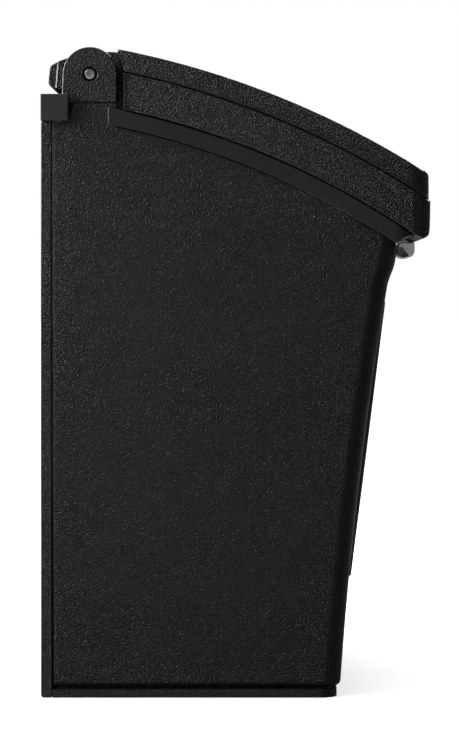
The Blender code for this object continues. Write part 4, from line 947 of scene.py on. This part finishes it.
def hood_outline(inset=0.0):
    """Side outline of the hood that the cap carries over the hinge, moved inward by inset."""
    tail = HOOD_TAIL_D + inset
    low = PIN_Z - HOOD_DROP - (CUT if inset else 0)
    top_front = (LID_REAR_D + CUT, arc_z(LID_TOP_RADIUS - inset, LID_REAR_D + CUT))
    top = [
        (PIN_D + 0.0165, PIN_Z + 0.0144 - inset),
        (PIN_D + 0.006, PIN_Z + 0.0142 - inset),
        (PIN_D - 0.006, PIN_Z + 0.0130 - inset),
        (PIN_D - 0.0145, PIN_Z + 0.0105 - inset),
        (PIN_D - 0.0190, PIN_Z + 0.0090 - inset),
        (tail + 0.0032, PIN_Z + 0.0070 - inset),
        (tail + 0.0011, PIN_Z + 0.0046 - inset * 0.6),
        (tail + 0.0002, PIN_Z - 0.0045),
    ]
    if inset:
        rear = [(tail + 0.0002, low)]
    else:
        rear = [(tail + 0.0014, PIN_Z - 0.0063), (tail + 0.0044, PIN_Z - 0.0080)]
    return [top_front] + curved(top, 4) + rear + [(PIN_D, low), (LID_REAR_D + CUT, low)]


def lid_plan(name, half, front, corner, rear=LID_REAR_D):
    """An upright block with the lid's plan: square at the rear, round at the front corners."""
    ring = rounded_ring(half, rear, front, 0.0008, corner, LID_CORNER_STEPS)
    return plan_solid(name, ring, 0, HEIGHT + CUT)


def cap_outline():
    """Side outline of the cap in front of the ears, with a round notch behind them."""
    front = DEPTH - LID_SEAM_STEP
    seam = arc_line(SEAM_RADIUS + GAP, LID_REAR_D, front)
    edge = 0.0045
    shoulder_z = arc_z(LID_TOP_RADIUS, front - edge)
    shoulder = [
        (front, shoulder_z - edge * 1.1),
        (front - edge * 0.12, shoulder_z - edge * 0.55),
        (front - edge * 0.45, shoulder_z - edge * 0.15),
        (front - edge, shoulder_z),
    ]
    top = arc_line(LID_TOP_RADIUS, front - edge, PIN_D + 0.0166)[1:]
    notch = circle_line((PIN_D, PIN_Z), LID_NOTCH_RADIUS, 34, 5, 12)
    return seam + curved(shoulder, 4) + top + notch


def make_lid_cap():
    """The lid's upper moulding: a hollow cap that runs on over the hinge as a hood."""
    cap = side_solid("lid_cap_fine", cap_outline(), -CAP_HALF, CAP_HALF)
    keep(cap, lid_plan("plan", CAP_HALF, DEPTH - LID_SEAM_STEP, LID_FRONT_CORNER, PIN_D))
    join(cap, side_solid("hood", hood_outline(), -HOOD_HALF, HOOD_HALF))
    inner_half = CAP_HALF - LID_WALL
    inner_front = DEPTH - LID_SEAM_STEP - LID_WALL
    top = arc_line(LID_TOP_RADIUS - LID_WALL, inner_front, LID_REAR_D + LID_WALL)
    low = ARC_CENTRE_Z + SEAM_RADIUS * 0.7
    ends = [(LID_REAR_D + LID_WALL, low), (inner_front, low)]
    inside = side_solid("inside", top + ends, -inner_half, inner_half)
    keep(inside, lid_plan("inside_plan", inner_half, inner_front, LID_FRONT_CORNER - LID_WALL))
    cut(cap, inside)
    room = HOOD_HALF - HOOD_CHEEK
    cut(cap, side_solid("hood_inside", hood_outline(HOOD_WALL), -room, room))
    drill(cap, "X", (0, forward(PIN_D), PIN_Z), BUSH_RADIUS + GAP, WIDTH)
    foot_z = PIN_Z - CUT * 2
    tail = [(-CUT, CHEEK_TOP[1]), CHEEK_TOP, CHEEK_FOOT, (CHEEK_FOOT[0], foot_z), (-CUT, foot_z)]
    for side in (-1, 1):
        x_range = sorted((side * (HOOD_HALF - TAIL_INSET), side * WIDTH))
        cut(cap, side_solid("beside_tail", tail, *x_range))

    def edge_radius(point):
        """Wider along the top's side edges, none where the hood meets the top."""
        d = DEPTH / 2 - point.y
        meet_d, meet_z = HOOD_MEET
        if math.hypot(d - PIN_D - meet_d, point.z - PIN_Z - meet_z) < HOOD_MEET_REACH:
            return 0.0
        in_front = d > PIN_D + meet_d + HOOD_MEET_REACH
        on_top = in_front and point.z > arc_z(LID_TOP_RADIUS - 0.0008, d)
        return CAP_ROUND if on_top and abs(point.x) > CAP_HALF - 0.015 else LID_ROUND

    soften(cap, CAP_ROUND, edge_radius)
    return place(cap, "lid_plastic", "lid", ["lid_cap"], "lid_grain")


def skirt_outline():
    """Side outline of the skirt, with the lip hanging at its front."""
    foot = arc_line(LID_FOOT_RADIUS, LID_REAR_D, NOSE_D + 0.001)
    top_radius = SEAM_RADIUS - SEAM_GROOVE
    lip = [
        (DEPTH - 0.0013, LIP_FOOT_Z + 0.0018),
        (DEPTH - 0.0004, LIP_FOOT_Z + 0.007),
        (DEPTH, LIP_FOOT_Z + 0.0225),
        (DEPTH - 0.0004, arc_z(top_radius, DEPTH) + 0.0001),
    ]
    top = arc_line(top_radius, DEPTH - 0.0016, LID_REAR_D)
    return foot + [(DEPTH - 0.0043, LIP_FOOT_Z)] + curved(lip, 4) + top


def make_lid_skirt():
    """The lid's lower moulding: a hollow band under the cap, thickened at the front as a lip."""
    skirt = side_solid("lid_skirt_fine", skirt_outline(), -SKIRT_HALF, SKIRT_HALF)
    keep(skirt, lid_plan("plan", SKIRT_HALF, DEPTH + GAP, LID_FRONT_CORNER, LID_REAR_D - GAP))
    half = SKIRT_HALF - LID_WALL
    corner = LID_FRONT_CORNER - LID_WALL
    rear = LID_REAR_D + LID_WALL
    inner = rounded_ring(half, rear, DEPTH - LIP_DEPTH, 0.001, corner, LID_CORNER_STEPS)
    inside = plan_solid("inside", inner, -CUT, HEIGHT + CUT)
    behind = (LID_REAR_D - CUT, LID_REAR_D + 2 * LID_WALL)
    room = HOOD_HALF + GAP
    cut(skirt, inside, block("hood_room", (-room, room), behind, (0, HEIGHT)))
    soften(skirt, LID_ROUND)
    reach = 1.5 * LID_ROUND
    for face in skirt.data.polygons:
        at_rear = DEPTH / 2 - face.center.y < LID_REAR_D + reach
        # the rounded rear corners take the lighter, glossier edge look too, wherever they face: a painted
        # highlight down the skirt's rear edge
        if at_rear and abs(face.center.x) > SKIRT_HALF - reach and 0.2 < abs(face.normal.x) < 0.98:
            face.material_index = 1
    return place(skirt, "lid_plastic", "lid", ["lid_skirt"], "lid_grain")


def pull_outline():
    """A half-round seen from the side: flat on top, upright in front, round below and behind."""
    front = PULL_FRONT_D
    top = LIP_FOOT_Z - GAP
    rear = front - PULL_DEPTH
    bottom = [
        (front, top - PULL_HEIGHT * 0.62),
        (front - 0.0012, top - PULL_HEIGHT * 0.84),
        (front - 0.0036, top - PULL_HEIGHT * 0.97),
        (front - 0.0062, top - PULL_HEIGHT),
        (front - 0.0088, top - PULL_HEIGHT * 0.93),
        (rear, top - PULL_HEIGHT * 0.76),
    ]
    return [(front, top)] + curved(bottom) + [(rear + 0.0012, top - 0.0005), (rear + 0.0042, top)]


def make_finger_pull():
    """A light half-round scoop under the middle of the lip, hollow inside, its ends cut in below a crease,
    with painted shade on the floors of the cuts.
    """
    pull = side_solid("finger_pull_fine", pull_outline(), -PULL_HALF_WIDTH, PULL_HALF_WIDTH)
    front = PULL_FRONT_D - PULL_WALL
    behind = front - 2 * PULL_DEPTH
    low = LIP_FOOT_Z - PULL_HEIGHT * 0.78
    ceiling = LIP_FOOT_Z - 0.0022
    hollow = [
        (front, ceiling),
        (front, low + 0.001),
        (front - 0.003, low),
        (behind, low - 0.0005),
        (behind, ceiling),
    ]
    half = PULL_HALF_WIDTH - PULL_END_WALL
    cut(pull, side_solid("pull_hollow", hollow, -half, half))
    (top_d, top_z), (foot_d, foot_z) = PULL_CREASE
    step_d, step_z = PULL_CREASE_STEP
    rear = top_d - PULL_DEPTH
    low = foot_z - step_z
    below = [(rear, top_z), (top_d, top_z), (foot_d, foot_z), (foot_d - step_d, low), (rear, low)]
    floor = PULL_HALF_WIDTH - PULL_CREASE_DEPTH
    for side in (-1, 1):
        x_range = sorted((side * floor, side * 2 * PULL_HALF_WIDTH))
        cut(pull, side_solid("below_crease", below, *x_range))
    # every rounded edge of the pull takes the brighter edge look, a painted edge highlight
    soften(pull, PULL_ROUND, highlight_slope=1.0)
    # the floors of the cut-in ends take a darker grey: painted shade in the recess
    pull.data.materials.append(MATERIALS["pull_painted_shade"])
    for face in pull.data.polygons:
        if abs(face.normal.x) > 0.9 and abs(abs(face.center.x) - floor) < MERGE:
            face.material_index = 2
    return place(pull, "pull_metal", "lid", ["finger_pull"], "pull_metal")


# ---------------------------------------------------------------- pieces kept from the frame

NODE_LOOKS = {
    "satin_black": ["lid_liner", "mechanism_cover", "pedal_tread", "bail_grip"],
    "steel": ["rod_clip_left", "rod_clip_right", "pedal_axle", "lift_rod", "crank_pin", "bucket_bail"],
    "zinc": ["crank_bracket", "pedal_lever"],
    "rubber": ["pedal_pad"],
    "bucket_plastic": ["inner_bucket"],
    "nylon": ["rod_cap", "rod_foot", "rod_guide_lower", "rod_guide_upper"],
}
for number in range(1, 5):
    NODE_LOOKS["zinc"] += [f"{kind}_screw_{number}" for kind in ("back", "base", "liner")]
    NODE_LOOKS["rubber"].append(f"foot_{number}")
for end in ("left", "right"):
    NODE_LOOKS["nylon"] += [f"{kind}_{end}" for kind in ("hinge_washer", "hinge_bush", "axle_bearing")]


def dress_nodes():
    """Materials and small rounded edges for the CAD nodes that stay."""
    for look, names in NODE_LOOKS.items():
        for name in names:
            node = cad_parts[name]
            node.data.materials.clear()
            node.data.materials.append(MATERIALS[look])
            flat = node.modifiers.new("merge_flat_faces", "DECIMATE")
            flat.decimate_type = "DISSOLVE"
            flat.angle_limit = math.radians(1.0)
            bevel = node.modifiers.new("rounded_edges", "BEVEL")
            bevel.width = NODE_ROUND
            bevel.segments = 2
            bevel.limit_method = "ANGLE"
            bevel.angle_limit = math.radians(40)
            bevel.harden_normals = True


# ---------------------------------------------------------------- studio

CAMERA_DISTANCE = 1.76  # from the near wall
VIEW_HEIGHT = 0.447  # how much of the near wall's plane fits the view
VIEW_SHIFT = (-0.0537, -0.0973)
EYE = (forward(0.1377), 0.2391)
SENSOR = 36.0

# Place, target, size and power of each lamp
AREA_LIGHTS = {
    "rear_left": ((-0.85, 1.05, 1.15), (-0.1, 0.05, 0.25), (0.5, 0.7), 9),
    "rear_strip": ((-0.24, 0.95, 0.60), (-0.14, 0.05, 0.35), (0.16, 0.6), 16),
    "right_side": ((1.25, -0.35, 0.9), (0.1, 0.0, 0.2), (0.6, 0.8), 14),
}
FILL_STRENGTH = 0.11
OVERHEAD_STRENGTH = 2.6
OVERHEAD_SPREAD = 70
OVERHEAD_TILT = (-12, 8)
FLOOR_PAINT = 0.88
FLOOR_BOUNCE = 0.30  # how pale the floor is for everything but the camera
FLOOR_GLOW = 0.45
FLOOR_RINGS = (1.0, 30.0)
FLOOR_SIDES = 64


def make_camera():
    """A level camera on the left, looking square at the side wall."""
    data = bpy.data.cameras.new("camera")
    data.sensor_width = SENSOR
    data.lens = SENSOR / VIEW_HEIGHT * CAMERA_DISTANCE
    data.shift_x, data.shift_y = VIEW_SHIFT
    data.clip_end = 50
    camera = add_object("camera", data)
    camera.location = (-SHELL_TOP_HALF - CAMERA_DISTANCE, *EYE)
    camera.rotation_euler = (math.pi / 2, 0, -math.pi / 2)
    bpy.context.scene.camera = camera


def area_light(name, place, target, size, power):
    """A rectangular lamp turned towards its target."""
    data = bpy.data.lights.new(name, "AREA")
    data.shape = "RECTANGLE"
    data.size, data.size_y = size
    data.energy = power
    lamp = add_object(name, data)
    lamp.location = place
    lamp.rotation_euler = (Vector(target) - Vector(place)).to_track_quat("-Z", "Y").to_euler()


def grey(level):
    return (level, level, level, 1.0)


def make_floor():
    """A wide disc under the object: pale and glowing to the camera, duller to everything else."""
    bm = bmesh.new()
    centre = bm.verts.new((0, 0, 0))
    angles = [2 * math.pi * i / FLOOR_SIDES for i in range(FLOOR_SIDES)]
    rings = []
    for radius in FLOOR_RINGS:
        rings.append([bm.verts.new((radius * math.cos(a), radius * math.sin(a), 0)) for a in angles])
    for i in range(FLOOR_SIDES):
        j = (i + 1) % FLOOR_SIDES
        bm.faces.new((centre, rings[0][i], rings[0][j]))
        bm.faces.new((rings[0][i], rings[1][i], rings[1][j], rings[0][j]))
    floor = from_bmesh("floor", bm)
    nodes = Nodes("floor_paint")
    seen = nodes.add("ShaderNodeLightPath").outputs["Is Camera Ray"]
    paint = nodes.add("ShaderNodeBsdfDiffuse", {"Color": grey(FLOOR_PAINT)}).outputs[0]
    glow = nodes.add("ShaderNodeEmission", {"Color": grey(1.0), "Strength": FLOOR_GLOW}).outputs[0]
    pale = nodes.add("ShaderNodeAddShader", {0: paint, 1: glow}).outputs[0]
    dull = nodes.add("ShaderNodeBsdfDiffuse", {"Color": grey(FLOOR_BOUNCE)}).outputs[0]
    either = nodes.add("ShaderNodeMixShader", {0: seen, 1: dull, 2: pale}).outputs[0]
    nodes.tree.links.new(either, nodes.tree.nodes["Material Output"].inputs[0])
    floor.data.materials.append(nodes.material)


def make_world():
    """White where the camera looks past the object, dim as a source of light."""
    world = bpy.data.worlds.new("studio")
    world.use_nodes = True
    tree = world.node_tree
    backdrop = tree.nodes.new("ShaderNodeBackground")
    backdrop.inputs["Color"].default_value = grey(1.0)
    fill = tree.nodes["Background"]
    fill.inputs["Color"].default_value = grey(1.0)
    fill.inputs["Strength"].default_value = FILL_STRENGTH
    seen = tree.nodes.new("ShaderNodeLightPath").outputs["Is Camera Ray"]
    either = tree.nodes.new("ShaderNodeMixShader")
    tree.links.new(seen, either.inputs[0])
    tree.links.new(fill.outputs[0], either.inputs[1])
    tree.links.new(backdrop.outputs[0], either.inputs[2])
    tree.links.new(either.outputs[0], tree.nodes["World Output"].inputs[0])
    bpy.context.scene.world = world


def make_lights():
    """Three lamps behind and to the right, and a soft light from above."""
    for name, light in AREA_LIGHTS.items():
        area_light(name, *light)
    data = bpy.data.lights.new("overhead", "SUN")
    data.energy = OVERHEAD_STRENGTH
    data.angle = math.radians(OVERHEAD_SPREAD)
    lamp = add_object("overhead", data)
    lamp.rotation_euler = (*map(math.radians, OVERHEAD_TILT), 0)


MATERIALS = make_materials()
make_outer_shell()
make_back_panel()
make_base_plate()
make_front_panel()
make_rim_collar()
make_rear_rim()
make_hinge_rod()
make_lid_cap()
make_lid_skirt()
make_finger_pull()
dress_nodes()
make_floor()
make_world()
make_lights()
make_camera()
bpy.context.scene.view_settings.view_transform = "Standard"
